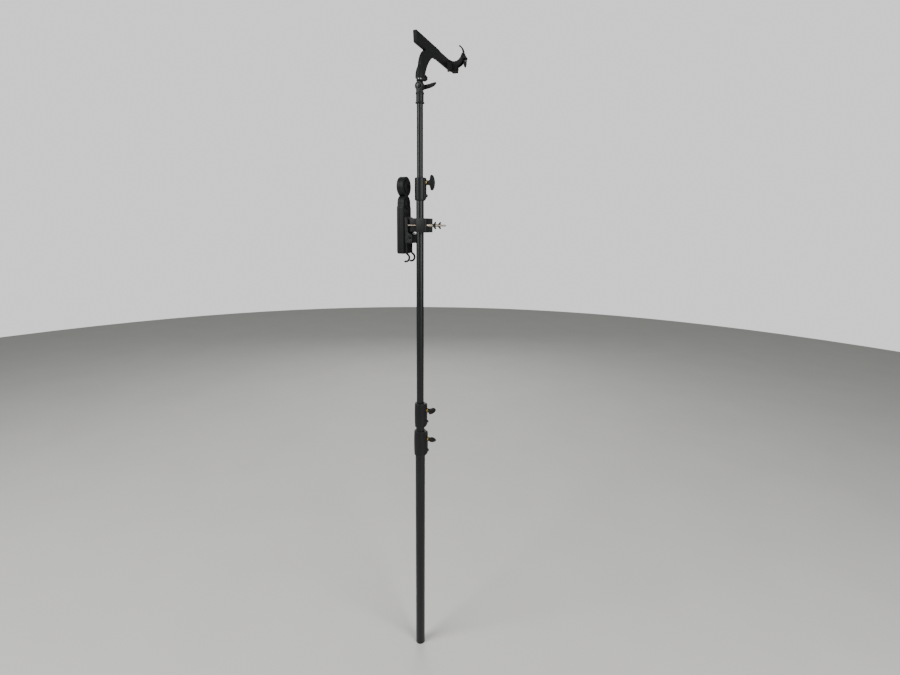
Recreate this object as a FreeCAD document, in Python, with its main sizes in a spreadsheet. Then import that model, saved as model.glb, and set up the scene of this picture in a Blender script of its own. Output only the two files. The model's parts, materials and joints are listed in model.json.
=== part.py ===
import FreeCAD, Part
import math
import os
import Sketcher

# A four-section telescopic support pole. Its head carries a swan-necked bracket whose cradle
# holds the end of a roller tube, and a hanger unit with two hooks is clamped to its upper riser.
#
# Millimetres. The origin is the centre of the pole's foot, +Z runs up the pole, +X is the side
# that the locking knobs stand on and +Y is the way that the bracket's arm points.

Vector = FreeCAD.Vector
Rotation = FreeCAD.Rotation

DRIVING_SIZES = {
    # clearances
    "running_gap": 0.06,
    "sliding_gap": 0.3,
    "seat_gap": 0.05,
    # tubes, from the foot upwards
    "base_diameter": 35,
    "first_diameter": 30,
    "second_diameter": 25,
    "third_diameter": 20,
    "base_wall": 1.5,
    "riser_wall": 1.25,
    "first_length": 960,
    "second_length": 920,
    "third_length": 900,
    "guide_length": 30,
    "foot_flange": 3,
    "foot_plug": 18,
    "foot_recess_radius": 9,
    # collars: levels follow from the pole's exposed lengths
    "lower_collar_level": 828,
    "collar_relief": 3,
    "collar_relief_depth": 0.4,
    "lower_collar_height": 94,
    "first_exposed": 16,
    "middle_collar_height": 90,
    "second_exposed": 696,
    "upper_collar_height": 71,
    "third_exposed": 219,
    "collar_wall": 4,
    "collar_crown_radius": 900,
    "collar_lip": 5,
    "bushing_flange": 2,
    "boss_half_width": 9,
    "boss_foot_chamfer": 8,
    "boss_head_chamfer": 2,
    "boss_rounding": 3,
    "lower_boss_reach": 28,
    "middle_boss_reach": 25.6,
    "upper_boss_reach": 21,
    "lower_knob_drop": 29,
    "middle_knob_drop": 25,
    "upper_knob_drop": 16,
    "lower_pinch_rise": 22,
    "middle_pinch_rise": 23,
    "upper_pinch_rise": 15,
    # brake screw, its insert and pad
    "brake_pad_radius": 3.6,
    "brake_pad_length": 3.2,
    "brake_screw_radius": 3,
    "insert_radius": 5.5,
    "insert_flange_radius": 8.2,
    "insert_flange": 5,
    "knob_screw_grip": 12,
    "knob_neck_radius": 6,
    "knob_neck_length": 4,
    "knob_hub_radius": 12,
    "knob_depth": 26,
    "knob_bar_length": 48,
    "knob_bar_depth": 12,
    "knob_bar_thickness": 11,
    "knob_rounding": 2.5,
    "pinch_head_radius": 5.4,
    "pinch_head_height": 6,
    "pinch_shank_radius": 2.5,
    # head
    "spigot_radius": 8,
    "spigot_neck_radius": 7,
    "spigot_neck_half": 5,
    "spigot_length": 30,
    "spigot_shoulder": 2,
    "spigot_plug": 30,
    "socket_flange_radius": 14.3,
    "socket_flange": 4,
    "socket_radius": 12,
    "socket_height": 34,
    "socket_ring_radius": 13.5,
    "socket_ring": 3,
    "socket_screw_radius": 2.5,
    "pivot_rise": 49,
    "ear_radius": 13,
    "ear_thickness": 10.4,
    "washer_thickness": 1.2,
    "pivot_bolt_radius": 4,
    "pivot_head_radius": 6.5,
    "pivot_head_height": 4.5,
    "platform_radius": 11,
    "platform_gap": 1,
    "platform_thickness": 5,
    "stud_shank_radius": 5,
    "stud_exposed": 3,
    "stud_length": 35,
    "lever_hub_radius": 8,
    "lever_hub_length": 9,
    "lever_cap": 1.8,
    "lever_reach": 48,
    "lever_thickness": 7,
    # bracket
    "shell_thickness": 6,
    "boss_radius": 14,
    "boss_height": 39,
    "stud_socket_radius": 11,
    "stud_socket_length": 36,
    "rail_bottom_rise": 89,
    "rail_height": 33,
    "rail_near_top": -38,
    "rail_near_bottom": -34,
    "rail_end_top": 154,
    "rail_end_bottom": 128,
    "neck_left_foot": -11,
    "neck_left_knee": -3,
    "neck_left_knee_rise": 42,
    "neck_left_top": 36,
    "neck_left_bend": 75,
    "neck_right_foot": 27,
    "neck_right_knee": 29,
    "neck_right_knee_rise": 16,
    "neck_right_top": 106,
    "neck_right_bend": 130,
    "shell_rounding": 1.6,
    "clamp_knob_rise": 10,
    "clamp_knob_radius": 9.5,
    "clamp_knob_start": 31,
    "clamp_knob_length": 14,
    "clamp_screw_radius": 3,
    "arm_half_thickness": 3,
    "tongue_inset": 4,
    "tongue_start": 14,
    "arm_end": 276,
    "arm_nose": 8,
    "bracket_screw_near": 24,
    "bracket_screw_far": 118,
    "bracket_screw_radius": 1.8,
    "bracket_screw_head_radius": 3,
    "bracket_screw_head": 1.6,
    # cradle
    "roller_radius": 25,
    "roller_offset": 21.8,
    "roller_rise": 140.6,
    "pad_thickness": 2,
    "cradle_centre": 258,
    "cradle_width": 26,
    "cradle_tip_drop": 2,
    "cradle_tip_wall": 3,
    "cradle_skin": 3.5,
    "cradle_block_reach": 28,
    "cradle_block_bottom": 57.5,
    "cradle_block_top": 41.5,
    "gusset_length": 22,
    "gusset_reach": 11,
    "cradle_bolt_drop": 49.5,
    "cradle_bolt_radius": 3,
    "cradle_bolt_head_radius": 4.5,
    "cradle_bolt_head": 5,
    "latch_width": 12,
    "latch_pivot_reach": 35.7,
    "latch_pivot_drop": 14.6,
    "latch_pin_radius": 1.5,
    "latch_knuckle_radius": 4,
    "latch_side_gap": 0.4,
    "latch_eye_radius": 5.5,
    "latch_eye_hole": 3.2,
    "latch_eye_drop": 10,
    "latch_strip": 2.2,
    # clamp on the upper riser
    "clamp_level": 1646,
    "jaw_height": 45,
    "jaw_half_width": 30,
    "jaw_reach": 34,
    "jaw_parting": 2,
    "jaw_rounding": 3,
    "rod_spread": 21,
    "rod_radius": 3,
    "rod_inner_end": 44,
    "rod_reach": 83,
    "sleeve_radius": 4.5,
    "nut_start": 56,
    "nut_hub_radius": 6,
    "nut_hub_length": 8,
    "nut_wing_span": 12,
    "nut_wing_thickness": 3.5,
    "inner_jaw_half_width": 16,
    "block_face": 34,
    "block_half_width": 25,
    "block_bottom": 1588,
    "block_top": 1672,
    "block_foot_reach": 19,
    "block_foot_height": 33,
    "block_eye_radius": 3,
    # hanger unit
    "hanger_face": 46,
    "hanger_parting": 58,
    "hanger_back": 70,
    "hanger_bottom": 1553,
    "hanger_half_width": 32,
    "hanger_shoulder_half": 30,
    "hanger_shoulder": 1701,
    "hanger_corner": 8,
    "lower_lobe_level": 1715,
    "lower_lobe_radius": 26,
    "upper_lobe_level": 1768,
    "upper_lobe_radius": 31,
    "waist_half": 10.4,
    "waist_level": 1738.8,
    "hanger_wall": 3,
    "hanger_rounding": 2.5,
    "lower_disc_radius": 17,
    "upper_disc_radius": 21,
    "disc_thickness": 8,
    "disc_proud": 3,
    "disc_groove": 0.8,
    "disc_hub_recess": 7.5,
    "axle_radius": 4,
    "vent_spacing": 16,
    "vent_level": 1678,
    "vent_width": 4,
    "vent_length": 15,
    "vent_slant": 28,
    "hook_offset": 41,
    "hook_rod_radius": 3.25,
    "hook_seat": 28,
    "hook_drop": 55,
    "hook_first_bend": 10,
    "hook_second_bend": 13,
    "hook_centre_offset": -1.5,
    "hook_tip_offset": -7,
}


class Size:
    """A length or an angle, with the sheet expression that it comes from."""

    def __init__(self, value, text=None):
        self.value = float(value)
        self.text = text or repr(float(value))

    def __add__(self, other):
        other = as_size(other)
        return Size(self.value + other.value, "(" + self.text + " + " + other.text + ")")

    def __sub__(self, other):
        other = as_size(other)
        return Size(self.value - other.value, "(" + self.text + " - " + other.text + ")")

    def __mul__(self, other):
        other = as_size(other)
        return Size(self.value * other.value, self.text + " * " + other.text)

    def __truediv__(self, other):
        other = as_size(other)
        return Size(self.value / other.value, "(" + self.text + ") / (" + other.text + ")")

    def __neg__(self):
        return Size(-self.value, "(0 - " + self.text + ")")

    def __radd__(self, other):
        return as_size(other) + self

    def __rsub__(self, other):
        return as_size(other) - self

    def __rmul__(self, other):
        return as_size(other) * self


def as_size(number):
    """A Size stays as it is and a plain number becomes one."""
    return number if isinstance(number, Size) else Size(number)


class Sheet:
    """The spreadsheet of driving sizes, read as attributes."""

    def __init__(self, doc, sizes):
        self.cells = doc.addObject("Spreadsheet::Sheet", "Sizes")
        for row, (alias, number) in enumerate(sizes.items(), start=1):
            self.cells.set("A%d" % row, alias)
            self.cells.set("B%d" % row, str(number))
            self.cells.setAlias("B%d" % row, alias)
        doc.recompute()

    def __getattr__(self, alias):
        return Size(self.cells.get(alias), "Sizes." + alias)


doc = FreeCAD.newDocument("SupportPole")
size = Sheet(doc, DRIVING_SIZES)
nodes = {}

TURNED_TO = {
    "+Z": Rotation(),
    "+X": Rotation(Vector(0, 1, 0), 90),
    "+Y": Rotation(Vector(1, 0, 0), -90),
    "-Y": Rotation(Vector(1, 0, 0), 90),
}
ORIGIN = (0, 0, 0)


# ---------------------------------------------------------------- drawing helpers

def bind(thing, path, value):
    """Tie a property to the sheet."""
    thing.setExpression(path, as_size(value).text)


def place(thing, at=ORIGIN, rotation=None):
    """Turn an object, then put its origin at a point bound to the sheet."""
    where = Vector(*[as_size(coordinate).value for coordinate in at])
    thing.Placement = FreeCAD.Placement(where, rotation or Rotation())
    for axis, coordinate in zip("xyz", at):
        bind(thing, "Placement.Base." + axis, coordinate)
    return thing


def keep(label, thing):
    """Name a finished sub-part, which becomes a node."""
    thing.Label = label
    nodes[label] = thing
    return thing


def cylinder(radius, start, end, axis="+Z", at=ORIGIN):
    """A cylinder about an axis through a point, from start to end along that axis."""
    drum = doc.addObject("Part::Cylinder", "Cylinder")
    bind(drum, "Radius", radius)
    bind(drum, "Height", as_size(end) - start)
    shift = {"+Z": (0, 0, start), "+X": (start, 0, 0), "+Y": (0, start, 0)}[axis]
    return place(drum, [as_size(a) + b for a, b in zip(at, shift)], TURNED_TO[axis])


def block(low, high):
    """A box between two corners."""
    box = doc.addObject("Part::Box", "Box")
    for side, start, end in zip(("Length", "Width", "Height"), low, high):
        bind(box, side, as_size(end) - start)
    return place(box, low)


def fused(parts):
    """Several solids joined into one."""
    joined = doc.addObject("Part::MultiFuse", "Fusion")
    joined.Shapes = parts
    joined.Refine = True
    return joined


def cut(base, tools):
    """A solid less its tools."""
    left = doc.addObject("Part::Cut", "Cut")
    left.Base = base
    left.Tool = tools[0] if len(tools) == 1 else fused(tools)
    left.Refine = True
    return left


def group(parts):
    """Separate solids that share a node."""
    together = doc.addObject("Part::Compound", "Group")
    together.Links = parts
    return together


def new_body(at=ORIGIN, rotation=None):
    """An empty body with its own place."""
    return place(doc.addObject("PartDesign::Body", "Body"), at, rotation)


def origin_plane(body, role):
    """One of a body's own origin planes."""
    return [plane for plane in body.Origin.OriginFeatures if plane.Role == role][0]


def new_sketch(body, role, offset=0):
    """A sketch on one of a body's origin planes, moved along the plane's normal."""
    sketch = body.newObject("Sketcher::SketchObject", "Sketch")
    sketch.AttachmentSupport = [(origin_plane(body, role), "")]
    sketch.MapMode = "FlatFace"
    bind(sketch, "AttachmentOffset.Base.z", offset)
    return sketch


def pin_down(sketch, edge, end, corner):
    """Fix one end of an edge at a point bound to the sheet."""
    for kind, coordinate in zip(("DistanceX", "DistanceY"), corner):
        coordinate = as_size(coordinate)
        rule = sketch.addConstraint(Sketcher.Constraint(kind, -1, 1, edge, end, coordinate.value))
        bind(sketch, "Constraints[%d]" % rule, coordinate)


def arc_between(start, end, radius, turn):
    """The short arc from start to end, with its centre to the left or right of the way."""
    chord = end - start
    rise = math.sqrt(max(radius ** 2 - chord.Length ** 2 / 4, 0))
    across = Vector(-chord.y, chord.x, 0).normalize()
    centre = (start + end) / 2 + across * (rise if turn == "left" else -rise)
    first, last = (start, end) if turn == "left" else (end, start)
    angles = [math.atan2(point.y - centre.y, point.x - centre.x) for point in (first, last)]
    circle = Part.Circle(centre, Vector(0, 0, 1), radius)
    return Part.ArcOfCircle(circle, angles[0], angles[1])


def outline(sketch, corners):
    """A closed outline of (across, up) corners; a corner may add the radius and turn of the
    arc that leaves it, and otherwise a straight line leaves it."""
    points = [Vector(as_size(c[0]).value, as_size(c[1]).value, 0) for c in corners]
    ends = []
    for index, corner in enumerate(corners):
        start, end = points[index], points[(index + 1) % len(points)]
        if len(corner) == 2:
            edge = sketch.addGeometry(Part.LineSegment(start, end), False)
            ends.append((edge, 1, 2))
            continue
        radius, turn = as_size(corner[2]), corner[3]
        edge = sketch.addGeometry(arc_between(start, end, radius.value, turn), False)
        ends.append((edge, 1, 2) if turn == "left" else (edge, 2, 1))
    for index, (edge, first, last) in enumerate(ends):
        follower = ends[(index + 1) % len(ends)]
        sketch.addConstraint(Sketcher.Constraint("Coincident", edge, last, follower[0], follower[1]))
        pin_down(sketch, edge, first, corners[index])
    for corner, (edge, first, last) in zip(corners, ends):
        if len(corner) == 4:
            radius = as_size(corner[2])
            rule = sketch.addConstraint(Sketcher.Constraint("Radius", edge, radius.value))
            bind(sketch, "Constraints[%d]" % rule, radius)


def pad(body, role, corners, low, high):
    """A prism on a plane, from low to high along the world axis that the plane faces."""
    backwards = role == "XZ_Plane"
    sketch = new_sketch(body, role, -as_size(high) if backwards else low)
    outline(sketch, corners)
    feature = body.newObject("PartDesign::Pad", "Pad")
    feature.Profile = sketch
    bind(feature, "Length", as_size(high) - low)
    return feature


def turn(body, corners, axis="V_Axis"):
    """A solid of revolution from corners in the XZ plane."""
    sketch = new_sketch(body, "XZ_Plane")
    outline(sketch, corners)
    feature = body.newObject("PartDesign::Revolution", "Revolution")
    feature.Profile = sketch
    feature.ReferenceAxis = (sketch, [axis])
    feature.Angle = 360
    return feature


def round_edges(body, feature, radius, chosen):
    """Round the edges of a body's last feature that a test picks by their middle point."""
    doc.recompute()
    names = []
    for index, edge in enumerate(feature.Shape.Edges, start=1):
        middle = edge.valueAt((edge.FirstParameter + edge.LastParameter) / 2)
        if chosen(edge, middle):
            names.append("Edge%d" % index)
    rounded = body.newObject("PartDesign::Fillet", "Fillet")
    rounded.Base = (feature, names)
    bind(rounded, "Radius", radius)
    return rounded


def turned_body(corners, at=ORIGIN, rotation=None):
    """A body made by one revolution about its own Z axis."""
    body = new_body(at, rotation)
    turn(body, corners)
    return body


def ring_corners(inner, outer, low, high):
    """The outline of a plain tube or ring."""
    return [(inner, low), (outer, low), (outer, high), (inner, high)]


# ---------------------------------------------------------------- telescopic column

class Stage:
    """One telescopic joint: the tube that ends in it and the riser that slides through it."""

    def __init__(self, name, tube_diameter, tube_wall, riser_diameter, bottom):
        self.name = name
        self.tube = tube_diameter / 2
        self.tube_bore = tube_diameter / 2 - tube_wall
        self.riser = riser_diameter / 2
        self.bottom = bottom
        self.top = bottom + getattr(size, name + "_collar_height")
        self.radius = self.tube + size.collar_wall
        self.reach = getattr(size, name + "_boss_reach")
        self.knob_level = self.top - getattr(size, name + "_knob_drop")
        self.pinch_level = self.bottom + getattr(size, name + "_pinch_rise")
        self.tube_top = self.top - size.collar_lip - size.bushing_flange
        self.knob_start = self.reach + size.insert_flange


lower = Stage("lower", size.base_diameter, size.base_wall, size.first_diameter,
              size.lower_collar_level)
middle = Stage("middle", size.first_diameter, size.riser_wall, size.second_diameter,
               lower.top + size.first_exposed)
upper = Stage("upper", size.second_diameter, size.riser_wall, size.third_diameter,
              middle.top + size.second_exposed)
head_level = upper.top + size.third_exposed


def pole_tube(label, outer, wall, low, high, stage=None, relieved=False):
    """A straight tube, with the cross hole for the brake pad when a collar sits on it.

    A relieved tube has a shallow turned groove just below that collar.
    """
    inner = outer - wall
    if relieved:
        neck = outer - size.collar_relief_depth
        groove = stage.bottom - size.collar_relief
        body = turned_body([
            (inner, low), (outer, low), (outer, groove), (neck, groove), (neck, stage.bottom),
            (outer, stage.bottom), (outer, high), (inner, high)])
    else:
        body = turned_body(ring_corners(inner, outer, low, high))
    if stage is None:
        return keep(label, body)
    window = cylinder(size.brake_pad_radius + size.seat_gap, 0, stage.radius, "+X",
                      (0, 0, stage.knob_level))
    return keep(label, cut(body, [window]))


def foot_cap():
    """Rubber plug that closes the foot of the base tube."""
    bore = size.base_diameter / 2 - size.base_wall - size.seat_gap
    top = size.foot_flange + size.foot_plug
    body = turned_body([
        (0, 0), (size.base_diameter / 2, 0), (size.base_diameter / 2, size.foot_flange),
        (bore, size.foot_flange), (bore, top), (size.foot_recess_radius, top),
        (size.foot_recess_radius, size.foot_flange), (0, size.foot_flange)])
    keep("foot_cap", body)


def riser_guide(label, stage, foot):
    """Nylon sleeve on the lower end of a riser, running in the tube outside it."""
    outer = stage.tube_bore - size.running_gap
    inner = stage.riser + size.seat_gap
    keep(label, turned_body(ring_corners(inner, outer, foot, foot + size.guide_length)))


def collar(stage):
    """Cast locking collar: a slightly crowned barrel with a boss down its knob side."""
    body = new_body()
    turn(body, [(0, stage.bottom), (stage.radius, stage.bottom, size.collar_crown_radius, "left"),
                (stage.radius, stage.top), (0, stage.top)])
    boss = pad(body, "XZ_Plane", [
        (0, stage.bottom), (stage.reach - size.boss_foot_chamfer, stage.bottom),
        (stage.reach, stage.bottom + size.boss_foot_chamfer),
        (stage.reach, stage.top - size.boss_head_chamfer),
        (stage.reach - size.boss_head_chamfer, stage.top), (0, stage.top)],
        -size.boss_half_width, size.boss_half_width)
    edge_line = (stage.reach.value, size.boss_half_width.value)
    body.Tip = round_edges(
        body, boss, size.boss_rounding,
        lambda edge, middle: abs(middle.x - edge_line[0]) < 0.01
        and abs(abs(middle.y) - edge_line[1]) < 0.01)
    tools = [
        cylinder(stage.tube + size.seat_gap, stage.bottom - 1, stage.tube_top),
        cylinder(stage.tube + size.seat_gap, stage.tube_top, stage.tube_top + size.bushing_flange),
        cylinder(stage.riser + size.sliding_gap, stage.tube_top, stage.top + 1),
        cylinder(size.insert_radius, 0, stage.reach + 1, "+X", (0, 0, stage.knob_level)),
        cylinder(size.pinch_shank_radius + size.seat_gap, 0, stage.reach + 1, "+X",
                 (0, 0, stage.pinch_level))]
    keep(stage.name + "_collar", cut(body, tools))


def collar_bushing(stage):
    """Nylon top hat that lines the mouth of the outer tube and guides the riser."""
    bore = stage.riser + size.running_gap
    sleeve = stage.tube_bore - size.seat_gap
    foot = stage.knob_level + size.brake_pad_radius + 1
    rim = stage.tube_top + size.bushing_flange
    keep(stage.name + "_bushing", turned_body([
        (bore, foot), (sleeve, foot), (sleeve, stage.tube_top), (stage.tube, stage.tube_top),
        (stage.tube, rim), (bore, rim)]))


def brake_parts(stage):
    """Brake pad against the riser, and the brass insert that its screw turns in."""
    centre = (0, 0, stage.knob_level)
    pad_start = stage.riser + size.sliding_gap
    pad_end = pad_start + size.brake_pad_length
    keep(stage.name + "_brake_pad",
         cylinder(size.brake_pad_radius, pad_start, pad_end, "+X", centre))
    shell = pad_end + size.sliding_gap
    insert = fused([
        cylinder(size.insert_radius - size.seat_gap, shell, stage.reach, "+X", centre),
        cylinder(size.insert_flange_radius, stage.reach, stage.knob_start, "+X", centre)])
    bore = cylinder(size.brake_screw_radius + size.running_gap, shell - 1, stage.knob_start + 1,
                    "+X", centre)
    keep(stage.name + "_insert", cut(insert, [bore]))
    keep(stage.name + "_knob_screw",
         cylinder(size.brake_screw_radius, pad_end, stage.knob_start + size.knob_screw_grip,
                  "+X", centre))


def pinch_bolt(stage):
    """Domed bolt that locks the collar on its tube."""
    start = stage.tube + size.seat_gap
    body = new_body((0, 0, stage.pinch_level))
    neck = size.pinch_shank_radius
    crown = stage.reach + size.pinch_head_height
    turn(body, [
        (start, 0), (crown, 0),
        (crown, size.pinch_head_radius / 3, size.pinch_head_radius, "left"),
        (stage.reach + size.pinch_head_height / 3, size.pinch_head_radius),
        (stage.reach, size.pinch_head_radius), (stage.reach, neck), (start, neck)], "H_Axis")
    keep(stage.name + "_pinch_bolt", body)


def t_knob(stage, lean):
    """T-shaped knob: a lens-shaped hub crossed by a bar with rounded ends."""
    centre = (0, 0, stage.knob_level)
    tilt = Rotation(Vector(1, 0, 0), lean)
    neck = size.knob_neck_radius
    start = stage.knob_start
    tip = start + size.knob_depth
    shoulder = start + size.knob_neck_length
    widest = tip - size.knob_bar_depth / 2
    hub_radius = size.knob_hub_radius
    hub = new_body(centre, tilt)
    turn(hub, [
        (start, 0), (tip, 0), (tip, hub_radius / 3, hub_radius * 1.2, "left"),
        (widest, hub_radius, hub_radius * 3, "left"), (shoulder, neck), (start, neck)], "H_Axis")
    near = tip - size.knob_bar_depth
    straight = size.knob_bar_length / 2 - size.knob_bar_depth / 2
    end_bend = size.knob_bar_depth * 0.56
    flank = near - size.knob_bar_depth * 0.3
    bar = new_body(centre, tilt)
    blade = pad(bar, "XZ_Plane", [
        (flank, -neck), (near, -straight, end_bend, "left"), (tip - 0.4, -straight),
        (tip - 0.4, straight, end_bend, "left"), (near, straight), (flank, neck)],
        -size.knob_bar_thickness / 2, size.knob_bar_thickness / 2)
    half = size.knob_bar_thickness.value / 2
    bar.Tip = round_edges(bar, blade, size.knob_rounding,
                          lambda edge, middle: abs(abs(middle.y) - half) < 0.01)
    socket = cylinder(size.brake_screw_radius + size.seat_gap, start - 1,
                      start + size.knob_screw_grip, "+X", centre)
    keep(stage.name + "_t_knob", cut(fused([hub, bar]), [socket]))


# ---------------------------------------------------------------- swivel head

pivot_level = head_level + size.pivot_rise
ear_inner = size.washer_thickness / 2
ear_outer = ear_inner + size.ear_thickness
platform_bottom = pivot_level + size.ear_radius + size.platform_gap
platform_top = platform_bottom + size.platform_thickness
bracket_level = platform_top + size.stud_exposed
stud_top = platform_top + size.stud_length
spigot_neck_level = head_level + size.spigot_length / 2


def necked_pin(radius, neck, half, low, neck_level, high):
    """Corners of a pin from its foot up, with a groove round it for a locking screw."""
    return [
        (radius, low), (radius, neck_level - half), (neck, neck_level - half),
        (neck, neck_level + half), (radius, neck_level + half), (radius, high - 1),
        (radius - 1, high)]


def top_spigot():
    """Plug in the top riser with the spigot that the head turns on."""
    plug = size.third_diameter / 2 - size.riser_wall - size.seat_gap
    rim = head_level - size.spigot_shoulder
    pin = necked_pin(size.spigot_radius, size.spigot_neck_radius, size.spigot_neck_half,
                     head_level, spigot_neck_level, head_level + size.spigot_length)
    keep("top_spigot", turned_body([
        (0, rim - size.spigot_plug), (plug, rim - size.spigot_plug), (plug, rim),
        (size.third_diameter / 2, rim), (size.third_diameter / 2, head_level)] + pin
        + [(0, head_level + size.spigot_length)]))


def swivel_socket():
    """Sleeve on the spigot that rises into one ear of the tilt joint."""
    flange_top = head_level + size.socket_flange
    ring_top = head_level + size.socket_height - 4
    ring_bottom = ring_top - size.socket_ring
    sleeve = new_body()
    turn(sleeve, [
        (0, head_level), (size.socket_flange_radius, head_level),
        (size.socket_flange_radius, flange_top - 1.5), (size.socket_radius, flange_top),
        (size.socket_radius, ring_bottom), (size.socket_ring_radius, ring_bottom + 1),
        (size.socket_ring_radius, ring_top - 1), (size.socket_radius, ring_top),
        (size.socket_radius, head_level + size.socket_height),
        (0, head_level + size.socket_height)])
    neck = block((-size.platform_radius + 1, -ear_outer, head_level + size.socket_height - 5),
                 (size.platform_radius - 1, -ear_inner, pivot_level))
    ear = cylinder(size.ear_radius, -ear_outer, -ear_inner, "+Y", (0, 0, pivot_level))
    tools = [
        cylinder(size.spigot_radius + size.running_gap, head_level - 1,
                 head_level + size.spigot_length + 1),
        cylinder(size.pivot_bolt_radius + size.seat_gap, -ear_outer - 1, 1, "+Y",
                 (0, 0, pivot_level)),
        cylinder(size.socket_screw_radius + size.running_gap, 0, size.socket_flange_radius, "+X",
                 (0, 0, spigot_neck_level))]
    keep("swivel_socket", cut(fused([sleeve, neck, ear]), tools))
    keep("socket_screw", cylinder(size.socket_screw_radius, size.spigot_neck_radius + 0.5,
                                  size.socket_radius, "+X", (0, 0, spigot_neck_level)))


def swivel_head():
    """The other ear of the tilt joint, with the platform that the stud stands on."""
    ear = cylinder(size.ear_radius, ear_inner, ear_outer, "+Y", (0, 0, pivot_level))
    web = block((-size.platform_radius + 2, ear_inner, pivot_level),
                (size.platform_radius - 2, size.platform_radius - 3, platform_bottom + 1))
    platform = cylinder(size.platform_radius, platform_bottom, platform_top)
    tools = [
        cylinder(size.pivot_bolt_radius + size.running_gap, -1, ear_outer + 1, "+Y",
                 (0, 0, pivot_level)),
        cylinder(size.stud_shank_radius + size.seat_gap, platform_bottom - 1, platform_top + 1)]
    keep("swivel_head", cut(fused([ear, web, platform]), tools))


def pivot_parts():
    """Friction washer and the bolt through both ears."""
    centre = (0, 0, pivot_level)
    bolt_gap = size.pivot_bolt_radius + size.running_gap
    washer = cylinder(size.ear_radius - 1, -ear_inner, ear_inner, "+Y", centre)
    hole = cylinder(bolt_gap, -ear_inner - 1, ear_inner + 1, "+Y", centre)
    keep("friction_washer", cut(washer, [hole]))
    head_start = -ear_outer - size.pivot_head_height
    shank_end = ear_outer + size.lever_hub_length - size.lever_cap
    keep("pivot_bolt", fused([
        cylinder(size.pivot_head_radius, head_start, -ear_outer, "+Y", centre),
        cylinder(size.pivot_bolt_radius, -ear_outer, shank_end, "+Y", centre)]))


def head_stud():
    """Plated stud that the bracket is clamped on."""
    pin = necked_pin(size.spigot_radius, size.spigot_neck_radius, size.spigot_neck_half,
                     platform_top, bracket_level + size.clamp_knob_rise, stud_top)
    keep("head_stud", turned_body([
        (0, platform_bottom), (size.stud_shank_radius, platform_bottom),
        (size.stud_shank_radius, platform_top)] + pin + [(0, stud_top)]))


def pivot_lever():
    """Wing-shaped lever on the far end of the pivot bolt, its tip turned up."""
    start = ear_outer + size.sliding_gap
    end = ear_outer + size.lever_hub_length
    arm_end = end - 0.6
    arm_start = arm_end - size.lever_thickness
    hub_radius = size.lever_hub_radius
    reach = size.lever_reach
    body = new_body((0, 0, pivot_level))
    pad(body, "XZ_Plane", [
        (2, -hub_radius + 2), (hub_radius + 8, -hub_radius + 1, reach, "left"),
        (reach, 8), (reach - 1.5, 11.5), (reach - 7, 12, reach * 0.6, "left"),
        (hub_radius + 9, 8.5, reach * 0.7, "right"), (hub_radius, hub_radius - 1.5),
        (2, hub_radius - 2)], arm_start, arm_end)
    hub = cylinder(hub_radius, start, end, "+Y", (0, 0, pivot_level))
    bore = cylinder(size.pivot_bolt_radius + size.running_gap, start - 1,
                    end - size.lever_cap + size.sliding_gap, "+Y", (0, 0, pivot_level))
    keep("pivot_lever", cut(fused([body, hub]), [bore]))


# ---------------------------------------------------------------- roller bracket

rail_bottom = bracket_level + size.rail_bottom_rise
rail_top = rail_bottom + size.rail_height
clamp_knob_level = bracket_level + size.clamp_knob_rise
shell_screw_level = (rail_bottom + rail_top) / 2
tongue_bottom = rail_bottom + size.tongue_inset
tongue_top = rail_top - size.tongue_inset


def rail_end_at(level):
    """Where the slanted end of the bracket's rail lies at a level."""
    slope = (size.rail_end_top - size.rail_end_bottom) / size.rail_height
    return size.rail_end_bottom + (level - rail_bottom) * slope


def bracket_outline():
    """Side view of the bracket: an upright neck that leans into a rail."""
    return [
        (size.neck_left_foot, bracket_level), (size.neck_right_foot, bracket_level),
        (size.neck_right_knee, bracket_level + size.neck_right_knee_rise,
         size.neck_right_bend, "right"),
        (size.neck_right_top, rail_bottom), (size.rail_end_bottom, rail_bottom),
        (size.rail_end_top, rail_top), (size.rail_near_top, rail_top),
        (size.rail_near_bottom, rail_bottom),
        (size.neck_left_top, rail_bottom, size.neck_left_bend, "left"),
        (size.neck_left_knee, bracket_level + size.neck_left_knee_rise)]


def bracket_screw_places():
    """Where the two screws that close the bracket lie along the rail."""
    return [(0, size.bracket_screw_near, shell_screw_level),
            (0, size.bracket_screw_far, shell_screw_level)]


def bracket_shell(label, side):
    """One moulded half of the bracket, on the side that +1 or -1 gives."""
    face = size.shell_thickness
    body = new_body()
    blade = pad(body, "YZ_Plane", bracket_outline(), -face, face)
    body.Tip = round_edges(
        body, blade, size.shell_rounding,
        lambda edge, middle: abs(abs(middle.x) - face.value) < 0.01
        and middle.z > rail_bottom.value + 1)
    boss = cylinder(size.boss_radius, bracket_level, bracket_level + size.boss_height)
    other_half = (-size.boss_radius - 1, 0) if side > 0 else (0, size.boss_radius + 1)
    tools = [
        block((other_half[0], size.rail_near_top - 1, bracket_level - 1),
              (other_half[1], size.rail_end_top + 1, rail_top + 1)),
        cylinder(size.stud_socket_radius + size.seat_gap, bracket_level - 1,
                 bracket_level + size.stud_socket_length + size.seat_gap),
        cylinder(size.clamp_screw_radius + size.running_gap, 0, size.clamp_knob_start + 1, "+Y",
                 (0, 0, clamp_knob_level)),
        block((-size.arm_half_thickness - size.seat_gap, size.tongue_start - 0.5,
               tongue_bottom - size.seat_gap),
              (size.arm_half_thickness + size.seat_gap, size.rail_end_top + 1,
               tongue_top + size.seat_gap))]
    for centre in bracket_screw_places():
        tools.append(cylinder(size.bracket_screw_radius + size.seat_gap,
                              -size.shell_thickness + 1.5, size.shell_thickness + 1, "+X", centre))
    shell = fused([body, boss])
    for tool in tools:
        shell = cut(shell, [tool])
    keep(label, shell)


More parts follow.
